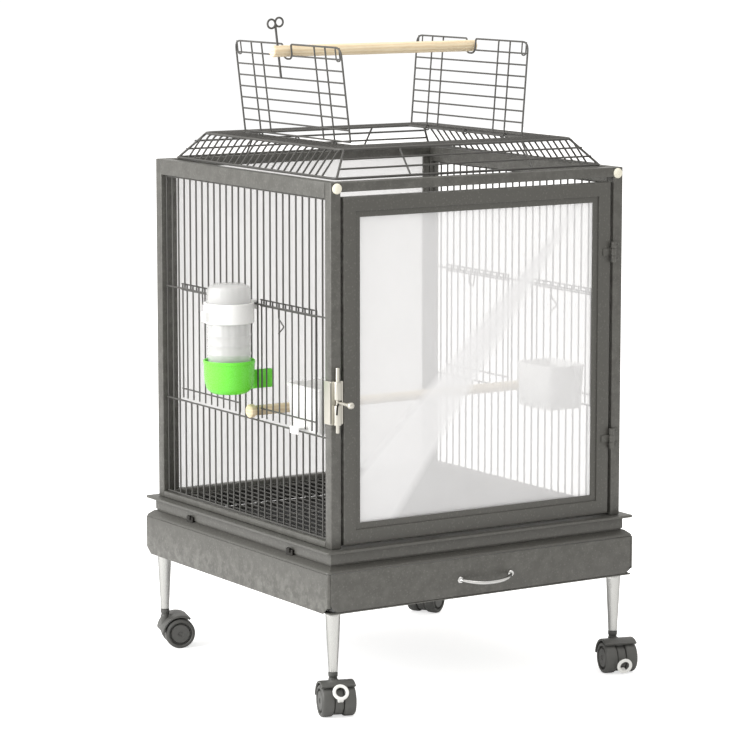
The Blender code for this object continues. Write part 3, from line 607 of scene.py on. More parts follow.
# %% Neck, shoulder, skirt and flange
base_low, base_high = box_of("base_housing")
HALF = base_high[0]
SKIRT_LOW, SKIRT_HIGH, NECK_TOP = base_low[2], 0.1762, base_high[2]
JAMB = HALF - 0.0035
neck = rounded([(0.2200, NECK_TOP), (0.2200, 0.1858), (0.2186, 0.1854), (0.2186, 0.1842), (0.2215, 0.1838),
                (0.2288, 0.1788), (HALF, 0.1772), (HALF, SKIRT_HIGH), (0.2282, SKIRT_HIGH), (0.2278, 0.1772),
                (0.2180, 0.1825), (0.2180, NECK_TOP)], 0.0005, closed=True, steps=2)
skirt = rounded([(HALF, SKIRT_HIGH - 0.0004), (HALF, SKIRT_LOW), (0.2140, SKIRT_LOW), (0.2140, SKIRT_LOW + 0.0018),
                 (0.2280, SKIRT_LOW + 0.0018), (0.2280, SKIRT_HIGH - 0.0004)], 0.0007, closed=True, steps=3)
front_ledge = block((-JAMB, -HALF, SKIRT_LOW), (JAMB, -0.2140, SKIRT_LOW + 0.0018), 0.0005, along=0)
piece("base_sheet", [rim(neck, 0.006), rim(skirt, 0.003, jamb=JAMB, trim=0.008, trim_below=0.140), front_ledge],
      PAINT, "cage", "base_housing")
flange_low, flange_high = box_of("base_flange")
flange = rounded([(HALF, flange_low[2]), (HALF, flange_high[2]), (0.1960, flange_high[2]), (0.1960, flange_low[2])],
                 0.0008, closed=True, steps=3)
piece("cage_flange", [rim(flange, 0.004)], PAINT, "cage", "base_flange")


# %% Catches and the screws of the legs
def dome(centre, radius, height, axis=Z, sides=16):
    """A low button head: half an ellipse of the radius and height, turned about its axis."""
    turn = np.linspace(0, TAU / 4, 5)
    profile = np.column_stack([radius * np.cos(turn), height * np.sin(turn)])
    return turned(np.concatenate([[(radius, -0.0004)], profile]), centre, axis, sides)


catches = []
for y in (-0.127, 0.124):
    catches.append(block((-0.2232, y - 0.008, 0.1800), (-0.2192, y + 0.008, 0.1905), 0.0008, along=1))
    catches.append(block((-0.2248, y - 0.003, 0.1862), (-0.2222, y + 0.003, 0.1925), 0.0008, along=1))
LEG_AT = 0.212
leg_screws = [
    dome((sx * (LEG_AT - back), sy * (LEG_AT - 0.014 + back), SKIRT_LOW), 0.0034, 0.0022, -Z)
    for sx in (-1, 1) for sy in (-1, 1) for back in (-0.0095, 0.0135)
]
piece("base_catches", catches, BLACKENED, "cage")
piece("leg_screws", leg_screws, BLACKENED, "cage")

# %% [markdown]
# ## The drawer
# The tray is a plain moulded box that slides forward. Its steel face closes the opening in the skirt, with the same
# cut corners, and a chrome bow about as wide as a hand is screwed to it. The bow is thicker in the middle than at
# its feet, so its radius is a function of the place along it.

# %% Tray, face and bow
pan_low, pan_high = box_of("tray_pan")
pan_half = (pan_high - pan_low) / 2
WALL = 0.0015
pan_floor, pan_rim = pan_low[2], pan_high[2]
pan_levels = [(0.0100, pan_floor), (0.0012, pan_floor), (0.0, pan_floor + 0.0012), (0.0, pan_rim - 0.0004),
              (0.0004, pan_rim), (WALL - 0.0004, pan_rim), (WALL, pan_rim - 0.0004),
              (WALL, pan_floor + WALL + 0.0020), (WALL + 0.0020, pan_floor + WALL), (0.0110, pan_floor + WALL)]
piece("tray_box", [vessel(pan_levels, (pan_low + pan_high) / 2, pan_half[0], pan_half[1], 0.006)], TRAY, "tray",
      "tray_pan")

face_low, face_high = box_of("tray_front")
CUT = 0.0085
corners = np.array([(face_low[0] + CUT, face_low[2]), (face_high[0] - CUT, face_low[2]),
                    (face_high[0], face_low[2] + CUT), (face_high[0], face_high[2]), (face_low[0], face_high[2]),
                    (face_low[0], face_low[2] + CUT)])
plan = rounded(corners, 0.0015, closed=True, steps=3)
centre = (face_low[[0, 2]] + face_high[[0, 2]]) / 2
layers = [(0.0006, face_high[1]), (0.0, face_high[1] - 0.0004), (0.0, face_low[1] + 0.0006), (0.0006, face_low[1])]
slab = np.array([
    np.column_stack([plan[:, 0] - np.sign(plan[:, 0] - centre[0]) * inset, np.full(len(plan), y),
                     plan[:, 1] - np.sign(plan[:, 1] - centre[1]) * inset]) for inset, y in layers
])
piece("drawer_face", [skin(slab)], PAINT, "tray", "tray_front")

HAND_HALF, HAND_Z, REACH, BOW_R = 0.038, 0.149, 0.0155, 0.0019
t = np.linspace(-1, 1, 49)
bow = np.column_stack([HAND_HALF * t, face_low[1] - 0.0016 - REACH * (1 - np.abs(t) ** 3.2),
                       HAND_Z - 0.004 * (1 - t**2)])
bow[[0, -1], 1] = face_low[1]
feet = [turned([(0.0042, 0.0002), (0.0042, 0.0014), (0.0036, 0.0021), (0.0024, 0.0022)],
               (side * HAND_HALF, face_low[1], HAND_Z), -Y, 24) for side in (-1, 1)]
piece("drawer_bow", [bent(bow, BOW_R + 0.0005 * (1 - t**2), Z, sides=16), *feet], CHROME, "tray", "tray_handle")
print("bow stands out", round(face_low[1] - bow[:, 1].min(), 4), "m")

# %% [markdown]
# ## Legs and castors
# Each leg is a polished tapering tube that meets its castor in a dark collar. A castor is a hood with a stem, two
# wheels on one axle and, at the front, a brake pedal. All of it is drawn once in the castor's own frame, with the
# wheel trailing along +X, and then carried to the four corners with the axle directions of the working joints.


# %% Legs
for end in ("front", "rear"):
    for side in ("left", "right"):
        low, high = box_of(f"leg_{end}_{side}")
        x, y = (low[:2] + high[:2]) / 2
        taper = [(0.0048, low[2]), (0.0056, low[2] + 0.0006), (0.0060, low[2] + 0.010), (0.0091, high[2] - 0.006),
                 (0.0094, high[2] - 0.0010), (0.0088, high[2])]
        piece(f"tapered_leg_{end}_{side}", [turned(taper, (x, y, 0), Z, 40)], SILVER, "cage", f"leg_{end}_{side}")


# %% One castor in its own frame
def moved(shapes, origin, axes):
    """Shapes taken from a local frame to the world: origin + x a0 + y a1 + z a2, with the axes as rows."""
    return [(points @ np.asarray(axes) + origin, faces) for points, faces in shapes]


HUB = np.array([0.017, 0.0, 0.020])
HOOD_STEPS, RING_STEPS = 25, 40


def castor_hood():
    """Hood over the wheels: a rounded section carried along an arc about the axle, a web between the wheels, a neck
    block and a stem."""
    angle = np.radians(np.linspace(56, 174, HOOD_STEPS))
    section = outline(0.00150, 0.0215, 0.0013, 5)
    reach = 0.0231 + section[:, 0]
    width = np.broadcast_to(section[:, 1], (HOOD_STEPS, len(section)))
    fender = np.stack([HUB[0] + np.cos(angle)[:, None] * reach, width, HUB[2] + np.sin(angle)[:, None] * reach], -1)
    web = rounded([(0.0, 0.0055), (0.018, 0.0055), (0.018, -0.0055), (0.0, -0.0055)], 0.0012, steps=3)
    stem = rounded([(0.0, 0.0270), (0.0059, 0.0270), (0.0059, 0.0420), (0.0052, 0.0432), (0.0052, 0.0452),
                    (0.0059, 0.0464), (0.0059, 0.0507), (0.0, 0.0507)], 0.0005, steps=2)
    neck_block = block((0.004, -0.0051, 0.030), (0.025, 0.0051, 0.0436), 0.0012, along=1)
    return [skin(fender), turned(web, HUB, Y, 40), neck_block, turned(stem, (0, 0, 0), Z, 32)]


def castor_wheels():
    """Both wheels and their axle as one lathe profile: flat hub, a groove ring, a rounded tread."""
    face = [(0.0, 0.0198), (0.0030, 0.0198), (0.0034, 0.0208), (0.0118, 0.0208), (0.0126, 0.0196), (0.0134, 0.0172),
            (0.0146, 0.0172), (0.0152, 0.0206), (0.0160, 0.0213), (0.0180, 0.0211), (0.0193, 0.0201),
            (0.0199, 0.0184), (0.0200, 0.0165), (0.0200, 0.0100), (0.0197, 0.0078), (0.0188, 0.0066),
            (0.0172, 0.0063), (0.0030, 0.0063)]
    profile = face + [(r, -h) for r, h in reversed(face)]
    return [turned(profile, HUB, Y, 48)]


def brake_pedal(rise):
    """An oval ring to step on, held by an arm: drawn level and turned up about the axle by the given angle."""
    c, s = math.cos(rise), math.sin(rise)
    turn = np.arange(RING_STEPS) * TAU / RING_STEPS
    section = outline(0.0020, 0.0014, 0.0010, 4)
    radius = 0.0081 + section[:, 0]
    out = np.broadcast_to(0.027 + section[:, 1], (RING_STEPS, len(section)))
    ring = np.stack([out, np.cos(turn)[:, None] * radius, np.sin(turn)[:, None] * radius], -1)
    arm = block((0.0179, -0.0034, -0.0100), (0.0262, 0.0034, -0.0062), 0.0008, along=0)
    return moved([skin(ring, loop=True), arm], HUB, [(c, 0, s), (0, 1, 0), (-s, 0, c)])


# %% Four castors
PEDALS = {"front_left": math.radians(33), "front_right": math.radians(-14)}
for corner in ("front_left", "front_right", "rear_left", "rear_right"):
    axle = unit(np.array(joints[f"castor_{corner}_roll"]["axis"], float))
    ahead = np.array([axle[1], -axle[0], 0.0])
    hub = np.array(joints[f"castor_{corner}_roll"]["pos_m"], float)
    foot = hub - HUB[0] * ahead
    foot[2] = 0.0
    axes = [ahead, axle, Z]
    body = f"castor_{corner}"
    piece(f"{body}_shell", moved(castor_hood(), foot, axes), NYLON, body, f"{body}_hood")
    piece(f"{body}_wheel_pair", moved(castor_wheels(), foot, axes), NYLON, f"{body}_wheels", f"{body}_wheels")
    if corner in PEDALS:
        piece(f"{body}_pedal", moved(brake_pedal(PEDALS[corner]), foot, axes), PEDAL, f"{body}_brake",
              f"{body}_brake")

# %% [markdown]
# ## The cage frame
# Posts and rails are square steel tube, so they are bars with softly rounded arrises. Where rails meet posts there
# is a fine joint line. Cream caps cover the two bolts at the top of the front posts.

# %% Posts, rails and bolt caps
ARRIS = 0.0011
for end in ("front", "rear"):
    for side in ("left", "right"):
        low, high = box_of(f"post_{end}_{side}")
        piece(f"tube_post_{end}_{side}", [block(low, high, 0.0008, ARRIS)], PAINT, "cage", f"post_{end}_{side}")
for level, places in (("top", ("front", "rear", "left", "right")), ("bottom", ("rear", "left", "right"))):
    for place in places:
        low, high = box_of(f"{level}_rail_{place}")
        run = 0 if place in ("front", "rear") else 1
        piece(f"tube_{level}_rail_{place}", [block(low, high, 0.0004, ARRIS, run)], PAINT, "cage",
              f"{level}_rail_{place}")
for side in ("left", "right"):
    low, high = box_of(f"corner_bolt_{side}")
    x, z = (low[0] + high[0]) / 2, (low[2] + high[2]) / 2
    radius, depth = (high[0] - low[0]) / 2, high[1] - low[1]
    cap = [(radius, 0.0), (radius, 0.18 * depth), (0.93 * radius, 0.42 * depth), (0.74 * radius, 0.72 * depth),
           (0.45 * radius, 0.93 * depth), (0.0, depth)]
    piece(f"bolt_cap_{side}", [turned(cap, (x, high[1], z), -Y, 32)], CREAM, "cage", f"corner_bolt_{side}")

# %% [markdown]
# ## Bars
# A side panel is 27 upright wires spot-welded to four level ones, which lie outside them. Two openings are left in
# each panel for the cups, closed by small bar doors that slide up. All the uprights of a panel come from one call:
# their foot and head positions are arrays.

# %% Side panels
panel_low, panel_high = box_of("side_panel_left")
BARS, BAR_R, LEVEL_R, DOOR_R = 27, 0.00115, 0.00110, 0.0010
MARGIN = 0.0012  # from the panel's edge to the middle of its outermost wires
bar_y = np.linspace(panel_low[1] + MARGIN, panel_high[1] - MARGIN, BARS)
FOOT_Z, HEAD_Z = panel_low[2] + MARGIN, panel_high[2] - MARGIN
LOWER_Z, UPPER_Z, OVERLAP = 0.3375, 0.4844, 0.0008
OPENINGS = {"front": (2, 11), "rear": (14, 24)}
open_bars = np.concatenate([np.arange(first + 1, last) for first, last in OPENINGS.values()])
whole_bars = np.setdiff1d(np.arange(BARS), open_bars)


def uprights(x, ys, z0, z1, radius):
    """Upright wires in the plane x, one for each y, from z0 to z1."""
    flat = np.column_stack([np.full(len(ys), x), ys])
    return rods(np.column_stack([flat, np.full(len(ys), z0)]), np.column_stack([flat, np.full(len(ys), z1)]), radius,
                12)


def level_bars(x, y0, y1, zs, radius):
    """Level wires in the plane x from y0 to y1, one for each z."""
    zs = np.asarray(zs, float)
    start = np.column_stack([np.full(len(zs), x), np.full(len(zs), y0), zs])
    return rods(start, start + (y1 - y0) * Y, radius, 12)


for side, sx in (("left", -1), ("right", 1)):
    x_up, x_level = sx * 0.20955, sx * 0.21055
    panel = [uprights(x_up, bar_y[whole_bars], FOOT_Z, HEAD_Z, BAR_R),
             uprights(x_up, bar_y[open_bars], FOOT_Z, LOWER_Z + OVERLAP, BAR_R),
             uprights(x_up, bar_y[open_bars], UPPER_Z - OVERLAP, HEAD_Z, BAR_R),
             level_bars(x_level, panel_low[1], panel_high[1], (FOOT_Z, LOWER_Z, UPPER_Z, HEAD_Z), LEVEL_R)]
    piece(f"bar_panel_{side}", panel, COAT, "cage", f"side_panel_{side}")

# %% Feeder doors with their hooks
CUP_HOOK_Y, HOOK_ROOM = -0.124, 0.012
HOOKS = {
    "front": [(-0.0775, 0.4824), (-0.0775, 0.4704), (-0.0905, 0.4615), (-0.0775, 0.4519)],
    "rear": [(0.1135, 0.4824), (0.1130, 0.4685), (0.1030, 0.4665), (0.0985, 0.4899)],
}
for side, sx in (("left", -1), ("right", 1)):
    for end, (first, last) in OPENINGS.items():
        name = f"feeder_door_{end}_{side}"
        low, high = box_of(name)
        bars = np.concatenate([[bar_y[first] + 0.004], bar_y[first + 1:last], [bar_y[last] - 0.004]])
        x_up, x_level = sx * 0.2062, sx * 0.2070
        feet = bars[np.abs(bars - CUP_HOOK_Y) > HOOK_ROOM] if end == "front" else bars
        loops = [uprights(x_up, bars, low[2] + 0.0004, high[2] - 0.0004, DOOR_R),
                 uprights(x_up, feet, LOWER_Z + 0.0026, low[2] + 0.0010, DOOR_R),
                 level_bars(x_level, low[1], high[1], (low[2] + 0.0011, high[2] - 0.0086, high[2] - 0.0011), DOOR_R)]
        hook = rounded([(x_level, y, z) for y, z in HOOKS[end]], 0.0025, steps=5)
        piece(f"sliding_bars_{end}_{side}", [*loops, bent(hook, 0.0009, X)], COAT, name, name)

# %% [markdown]
# ## The floor grate and the clear rear wall
# The grate lies on the flange: wires from front to back every 15 mm, crossed by three others in the same plane. The
# rear wall is a clear sheet held between the posts by two upright channels.

# %% Grate and rear wall
grate_low, grate_high = box_of("floor_grate")
reach = grate_high[0] - 0.0012
PITCH = 0.015
across = np.concatenate([[-reach], np.arange(-13, 14) * PITCH, [reach]])
z_wire = (grate_low[2] + grate_high[2]) / 2
foot = np.column_stack([across, np.full(len(across), grate_low[1]), np.full(len(across), z_wire)])
cross_y = np.array([-reach, 0.0, reach])
left = np.column_stack([np.full(3, grate_low[0]), cross_y, np.full(3, z_wire)])
piece("grate_wires", [rods(foot, foot + (grate_high[1] - grate_low[1]) * Y, 0.0011, 10),
                      rods(left, left + (grate_high[0] - grate_low[0]) * X, 0.0012, 10)], COAT, "cage", "floor_grate")
low, high = box_of("rear_panel")
piece("rear_wall", [block(low, high, 0.0005)], REAR, "cage", "rear_panel")
channels = [block((sx * 0.1976 - 0.0048, low[1] - 0.0034, low[2]), (sx * 0.1976 + 0.0048, low[1] - 0.0002, high[2]),
                  0.0006) for sx in (-1, 1)]
piece("rear_channels", channels, PAINT, "cage")

# %% [markdown]
# ## The front door
# One hinged frame fills the whole front. A rounded stile runs round it, then a dark step, then a thin bead that
# holds the acrylic. The section of that frame is a closed list of (inset, depth) points carried round four mitred
# corners: at every corner the section's points simply sit at the inset rectangle's corner.


# %% A section mitred round a rectangle
def mitred(section, x0, x1, z0, z1):
    """Each (inset, y) point of the section put at the four corners of the rectangle drawn in by that inset."""
    inset, y = np.asarray(section, float).T
    grid = np.stack([
        np.stack([x0 + inset, y, z0 + inset], -1), np.stack([x1 - inset, y, z0 + inset], -1),
        np.stack([x1 - inset, y, z1 - inset], -1), np.stack([x0 + inset, y, z1 - inset], -1),
    ])
    return skin(grid, loop=True)


door_low, door_high = box_of("door_frame")
FACE = door_low[1]
stile = rounded([(0.0, FACE), (0.0178, FACE), (0.0178, FACE + 0.0118), (0.0, FACE + 0.0118)], 0.0016, closed=True)
bead = rounded([(0.0170, FACE + 0.0023), (0.0252, FACE + 0.0026), (0.0252, FACE + 0.0054), (0.0170, FACE + 0.0054)],
               0.0009, closed=True)
bounds = (door_low[0], door_high[0], door_low[2], door_high[2])
piece("door_stiles", [mitred(stile, *bounds), mitred(bead, *bounds)], PAINT, "front_door", "door_frame")
low, high = box_of("door_pane")
piece("door_sheet", [block(low, high, 0.0005)], PANE, "front_door", "door_pane")

# %% Hinges
POST_FACE = -0.21715  # the front of the posts
LEAF_FACE = POST_FACE - 0.0012
BARREL_R = 0.0035
for name in ("upper", "lower"):
    low, high = box_of(f"hinge_{name}_pin")
    leaf_low, leaf_high = box_of(f"hinge_{name}_leaf")
    x, y, z = 0.2006, -0.22065, (low[2] + high[2]) / 2
    barrel = (high[2] - low[2]) / 2
    knuckle = (leaf_high[2] - leaf_low[2]) / 2
    pin = rounded([(0, barrel), (BARREL_R, barrel), (BARREL_R, knuckle + 0.0003), (0.0015, knuckle + 0.0003),
                   (0.0015, -knuckle - 0.0003), (BARREL_R, -knuckle - 0.0003), (BARREL_R, -barrel), (0, -barrel)],
                  0.0006, steps=3)
    post_leaves = [block((x, LEAF_FACE, z + s0), (x + 0.013, POST_FACE, z + s1), 0.0004, along=1)
                   for s0, s1 in ((knuckle + 0.0003, barrel), (-barrel, -knuckle - 0.0003))]
    sleeve = rounded([(BARREL_R, knuckle), (BARREL_R, -knuckle), (0.0019, -knuckle), (0.0019, knuckle)], 0.0004,
                     closed=True, steps=2)
    door_leaf = block((x - 0.014, LEAF_FACE, z - knuckle), (x - 0.0022, POST_FACE, z + knuckle), 0.0004, along=1)
    screws = [dome((x + 0.0085, LEAF_FACE, z + side * 0.0088), 0.0019, 0.0008, -Y, 12) for side in (-1, 1)]
    piece(f"post_knuckles_{name}", [turned(pin, (x, y, z), Z, 24), *post_leaves, *screws], PAINT, "cage",
          f"hinge_{name}_pin")
    piece(f"door_knuckle_{name}", [turned(sleeve, (x, y, z), Z, 24, closed=True), door_leaf], PAINT, "front_door",
          f"hinge_{name}_leaf")

# %% [markdown]
# ## The latch
# A nickel plate wraps the left post and carries a barrel bolt: a rod that stands upright in two short tubes. A
# lever with a ball end sticks out between the tubes. Turned to the left it lets the door go, turned to the right it
# lies over the stile.

# %% Latch plate, barrels and bolt
low, high = box_of("latch_housing")
BOLT_X, BOLT_Y, SHEET = -0.2110, -0.2222, 0.0016
gap_low, gap_high = 0.3812, 0.3882
plate_front = POST_FACE - SHEET
plate = [block((low[0], plate_front, low[2]), (high[0], POST_FACE, high[2]), 0.0005, 0.0012, 1),
         block((low[0], plate_front, low[2]), (low[0] + SHEET, high[1], high[2]), 0.0005, 0.0012, 0)]
for z0, z1 in ((low[2], gap_low), (gap_high, high[2])):
    tube = rounded([(0.0028, z0), (0.0046, z0), (0.0046, z1), (0.0028, z1)], 0.0005, closed=True, steps=2)
    plate.append(turned(tube, (BOLT_X, BOLT_Y, 0), Z, 28, closed=True))
piece("latch_plate", plate, NICKEL, "cage", "latch_housing")
# painted shade: a dark wire laid on the lower tube stands in for the shade inside the bolt's slot
turn = np.radians([-45, -40, -30, 5, 40])
slot_z = np.array([0.3700, 0.3775, 0.3830, 0.3858, 0.3868])
around = 0.00455
slot_shade_path = rounded(np.column_stack([BOLT_X + around * np.sin(turn), BOLT_Y - around * np.cos(turn), slot_z]), 0.003)
piece("latch_slot_shade_strip", [bent(slot_shade_path, 0.0012, unit(X - Y), sides=10)], BLACKENED, "cage")
bolt_low, bolt_high = box_of("latch_bolt")
LEVER_Z = 0.3847
bolt_rod = rounded([(0, bolt_low[2]), (0.0023, bolt_low[2]), (0.0023, bolt_high[2]), (0, bolt_high[2])], 0.0008,
                   steps=3)
turn = np.linspace(-TAU / 4 + 0.35, TAU / 4, 12)
BALL_R = 0.0043
ball_y = bolt_low[1] + BALL_R
lever_length = BOLT_Y - ball_y
lever = np.concatenate([[(0.0019, 0.0), (0.0019, lever_length - 0.0070), (0.0026, lever_length - 0.0064),
                         (0.0026, lever_length - 0.0046), (0.0019, lever_length - 0.0042)],
                        np.column_stack([BALL_R * np.cos(turn), lever_length + BALL_R * np.sin(turn)])])
piece("ball_bolt", [turned(bolt_rod, (BOLT_X, BOLT_Y, 0), Z, 24), turned(lever, (BOLT_X, BOLT_Y, LEVER_Z), -Y, 28)],
      NICKEL, "latch_bolt", "latch_bolt")

# %% [markdown]
# ## The wire roof
# A low hip of wire. The left-right bars are bent down over the side slopes in one piece, so each one is a path of
# four points with two rounded bends. The front and rear slopes only have two level hoops, a pair of slanting
# supports and the ridges. In the level middle is the opening that the flaps close.

# %% Roof wires
LOW_HALF, LOW_Z, FLAT_HALF = 0.1980, 0.6519, 0.1730
flat_z = joints["roof_flap_left_hinge"]["pos_m"][2]
OPEN_X = abs(joints["roof_flap_left_hinge"]["pos_m"][0])
OPEN_FRONT, OPEN_REAR = -0.124, 0.140
ROOF_R, HOOP_R, BEND = 0.0012, 0.0016, 0.006


def ring_path(half_x, y0, y1, z, radius):
    """A level rectangle with corners rounded to the given radius."""
    corners = [(-half_x, y0, z), (half_x, y0, z), (half_x, y1, z), (-half_x, y1, z)]
    return rounded(corners, radius, closed=True, steps=6)


roof = [bent(ring_path(LOW_HALF, -LOW_HALF, LOW_HALF, LOW_Z, 0.012), HOOP_R, Z, loop=True, sides=12),
        bent(ring_path(FLAT_HALF, -FLAT_HALF, FLAT_HALF, flat_z, 0.020), HOOP_R, Z, loop=True, sides=12),
        bent(ring_path(OPEN_X, OPEN_FRONT, OPEN_REAR, flat_z, BEND), 0.0014, Z, loop=True, sides=12)]
for y in PITCH * np.arange(-11, 12):
    if OPEN_FRONT < y < OPEN_REAR:
        for sx in (-1, 1):
            side = [(sx * LOW_HALF, y, LOW_Z), (sx * FLAT_HALF, y, flat_z), (sx * OPEN_X, y, flat_z)]
            roof.append(bent(rounded(side, BEND), ROOF_R, Y, sides=10))
    else:
        span = [(-LOW_HALF, y, LOW_Z), (-FLAT_HALF, y, flat_z), (FLAT_HALF, y, flat_z), (LOW_HALF, y, LOW_Z)]
        roof.append(bent(rounded(span, BEND), ROOF_R, Y, sides=10))
low_corner = np.array([(sx * (LOW_HALF - 0.003), sy * (LOW_HALF - 0.003), LOW_Z) for sx in (-1, 1) for sy in (-1, 1)])
top_corner = np.array([(sx * (FLAT_HALF - 0.005), sy * (FLAT_HALF - 0.005), flat_z) for sx in (-1, 1)
                       for sy in (-1, 1)])
roof.append(rods(low_corner, top_corner, 0.0015, 12))
for share in (1 / 3, 2 / 3):
    half, z = LOW_HALF + (FLAT_HALF - LOW_HALF) * share, LOW_Z + (flat_z - LOW_Z) * share
    hoop = np.array([(-half + 0.003, sy * half, z) for sy in (-1, 1)])
    roof.append(rods(hoop, hoop * (-1, 1, 1), ROOF_R, 12))
brace = np.array([(sx * 0.091, sy * LOW_HALF, LOW_Z) for sx in (-1, 1) for sy in (-1, 1)])
roof.append(rods(brace, brace * (1, FLAT_HALF / LOW_HALF, 1) + (flat_z - LOW_Z) * Z, ROOF_R, 12))
piece("hip_roof", roof, COAT, "cage", "roof_grille")

# %% [markdown]
# ## Roof flaps
# Both flaps stand up and lean outward a little, with the play perch resting in a cradle bent into their top wires.
# A flap is flat, so its wires are drawn on a (y, up) plane and laid on the leaning plane through the hinge line.
# Short loops go round the edge of the roof's opening and act as hinges.


# %% A flap
FLAP_R, FLAP_PITCH = 0.0011, 0.0146


def roof_flap(sx, lean):
    """The wires of one flap, laid on a plane that leans outward by the given angle."""
    up = np.array([sx * math.sin(lean), 0.0, math.cos(lean)])
    face = np.cross(Y, up)
    hinge = np.array([sx * OPEN_X, 0.0, flat_z])

    def lay(points):
        """hinge + y Y + v up for each (y, v) point of the flat flap."""
        points = np.asarray(points, float)
        return hinge + points[:, :1] * Y + points[:, 1:] * up

    y0, y1 = OPEN_FRONT + 0.0037, OPEN_REAR - 0.0037
    width = y1 - y0
    posts = y0 + width * np.array([0.15, 0.25, 0.75, 0.85])
    ups = 0.0042 + FLAP_PITCH * np.arange(9)
    top, perch_y, reach = ups[8], 0.008, 0.0103
    edge = [(y0, ups[0]), (y0, top), (perch_y - reach, top), (perch_y - reach, 0.1022), (perch_y + reach, 0.1022),
            (perch_y + reach, top), (y1, top), (y1, ups[0])]
    frame_wire = bent(rounded(lay(edge), [0, 0.012, 0.003, 0.0099, 0.0099, 0.003, 0.012, 0], steps=6), 0.0012, face)
    level = rods(lay([(y0, v) for v in ups[:7]]), lay([(y1, v) for v in ups[:7]]), FLAP_R, 10)
    broken = rods(lay([(y0, ups[7]), (perch_y + reach, ups[7])]), lay([(perch_y - reach, ups[7]), (y1, ups[7])]),
                  FLAP_R, 10)
    back = -0.0009 * sx * face
    struts = rods(lay([(y, ups[0]) for y in posts]) + back, lay([(y, top) for y in posts]) + back, FLAP_R, 10)
    angle = np.arange(20) * TAU / 20
    knuckles = [
        bent(hinge + y * Y + 0.0030 * (np.cos(angle)[:, None] * X + np.sin(angle)[:, None] * Z), 0.0009, Y, loop=True)
        for y in (-0.0825, 0.0075, 0.0975)
    ]
    hanging = [
        bent(rounded(lay([(y, top), (y, top - 0.017), (y + 0.009, top - 0.017), (y + 0.009, top)]), 0.0042, steps=5),
             0.0009, face) for y in (y0 + 0.004, y1 - 0.013)
    ]
    return [frame_wire, level, broken, struts, *knuckles, *hanging]


for side, sx, lean in (("left", -1, math.radians(7.0)), ("right", 1, math.radians(4.5))):
    name = f"roof_flap_{side}"
    piece(f"wire_flap_{side}", roof_flap(sx, lean), COAT, name, name)

# %% [markdown]
# ## Perches and the pin
# The perches are turned beech, never perfectly even, so the radius wanders by a tenth or two of a millimetre along
# the stick. The play perch has a hole near its left end. A wire pin with two finger loops goes through it and keeps
# it in its cradle.


# %% Turned sticks
def stick(x0, x1, centre_y, centre_z, radius, ends):
    """A stick along X, turned by hand: r (1 - 0.012 (1 + sin 61x cos 23x)), and its ends eased over a length."""
    x = np.concatenate([x0 + ends * np.array([0, 0.1, 0.45, 1.0]), np.linspace(x0 + 2 * ends, x1 - 2 * ends, 40),
                        x1 - ends * np.array([1.0, 0.45, 0.1, 0])])
    wander = 1 - 0.012 * (1 + np.sin(x * 61.0) * np.cos(x * 23.0))
    ease = np.concatenate([[0.80, 0.90, 0.97, 1.0], np.ones(40), [1.0, 0.97, 0.90, 0.80]])
    return turned(np.column_stack([radius * wander * ease, x]), (0, centre_y, centre_z), X, 32)


def drilled(obj, start, end, radius):
    """Cuts a round hole through a piece, once, and keeps the result as its mesh."""
    drill = bpy.data.objects.new("drill", mesh_of("drill", [rods(start, end, radius, 24)]))
    bpy.context.scene.collection.objects.link(drill)
    hole = obj.modifiers.new("hole", "BOOLEAN")
    hole.object, hole.operation, hole.solver = drill, "DIFFERENCE", "EXACT"
    bpy.context.view_layer.update()
    cut = bpy.data.meshes.new_from_object(obj.evaluated_get(bpy.context.evaluated_depsgraph_get()))
    obj.modifiers.clear()
    obj.data = cut
    cut.shade_smooth()
    cut.set_sharp_from_angle(angle=SHARP)
    bpy.data.objects.remove(drill)
    print(obj.name, "drilled:", len(cut.polygons), "faces")


low, high = box_of("play_perch")
top_perch = piece("turned_play_perch", [stick(low[0], high[0], (low[1] + high[1]) / 2, (low[2] + high[2]) / 2,
                                              (high[2] - low[2]) / 2, 0.002)], WOOD, "play_perch", "play_perch")
pin_along = unit(np.array(joints["perch_pin_pull"]["axis"], float))
pin_at = np.array([-0.155, (low[1] + high[1]) / 2, (low[2] + high[2]) / 2])
drilled(top_perch, pin_at - 0.012 * pin_along, pin_at + 0.012 * pin_along, 0.0022)

PIN_R = 0.0015
pin_top = pin_at + 0.0335 * pin_along
angle = np.arange(28) * TAU / 28
circle = np.cos(angle)[:, None] * X + np.sin(angle)[:, None] * Z
eyes = [bent(pin_top + (side * 0.0056, 0, 0.001 + lift) + 0.0056 * circle, 0.0013, Y, loop=True)
        for side, lift in ((-1, 0.0), (1, 0.002))]
piece("looped_pin", [rods(pin_at - 0.0345 * pin_along, pin_top, PIN_R, 16), *eyes], COAT, "perch_pin", "perch_pin")

low, high = box_of("inner_perch")
y, z = (low[1:] + high[1:]) / 2
half = [(0, high[0]), (0.0068, high[0]), (0.0085, high[0] - 0.0016), (0.0085, 0.2124), (0.0078, 0.2120),
        (0.0048, 0.2116), (0.0048, 0.2084), (0.0060, 0.2082), (0.0064, 0.2074)]
along = np.linspace(-0.200, 0.200, 40)
INNER_R = 0.0064
wander = INNER_R * (1 - 0.012 * (1 + np.sin(along * 53.0)))
profile = half + [(r, -x) for r, x in zip(wander, along)] + [(r, -x) for r, x in reversed(half)]
piece("turned_inner_perch", [turned(profile, (0, y, z), X, 32)], WOOD, "cage", "inner_perch")

# %% [markdown]
# ## Cups
# Two white cups hang inside the front feeder doors, hooked over the lower level wire. Outside on the left hangs a
# bottle feeder: a clear ribbed tube upside down in a green cup, held by a white collar, with a narrow trough that
# reaches in between two bars.

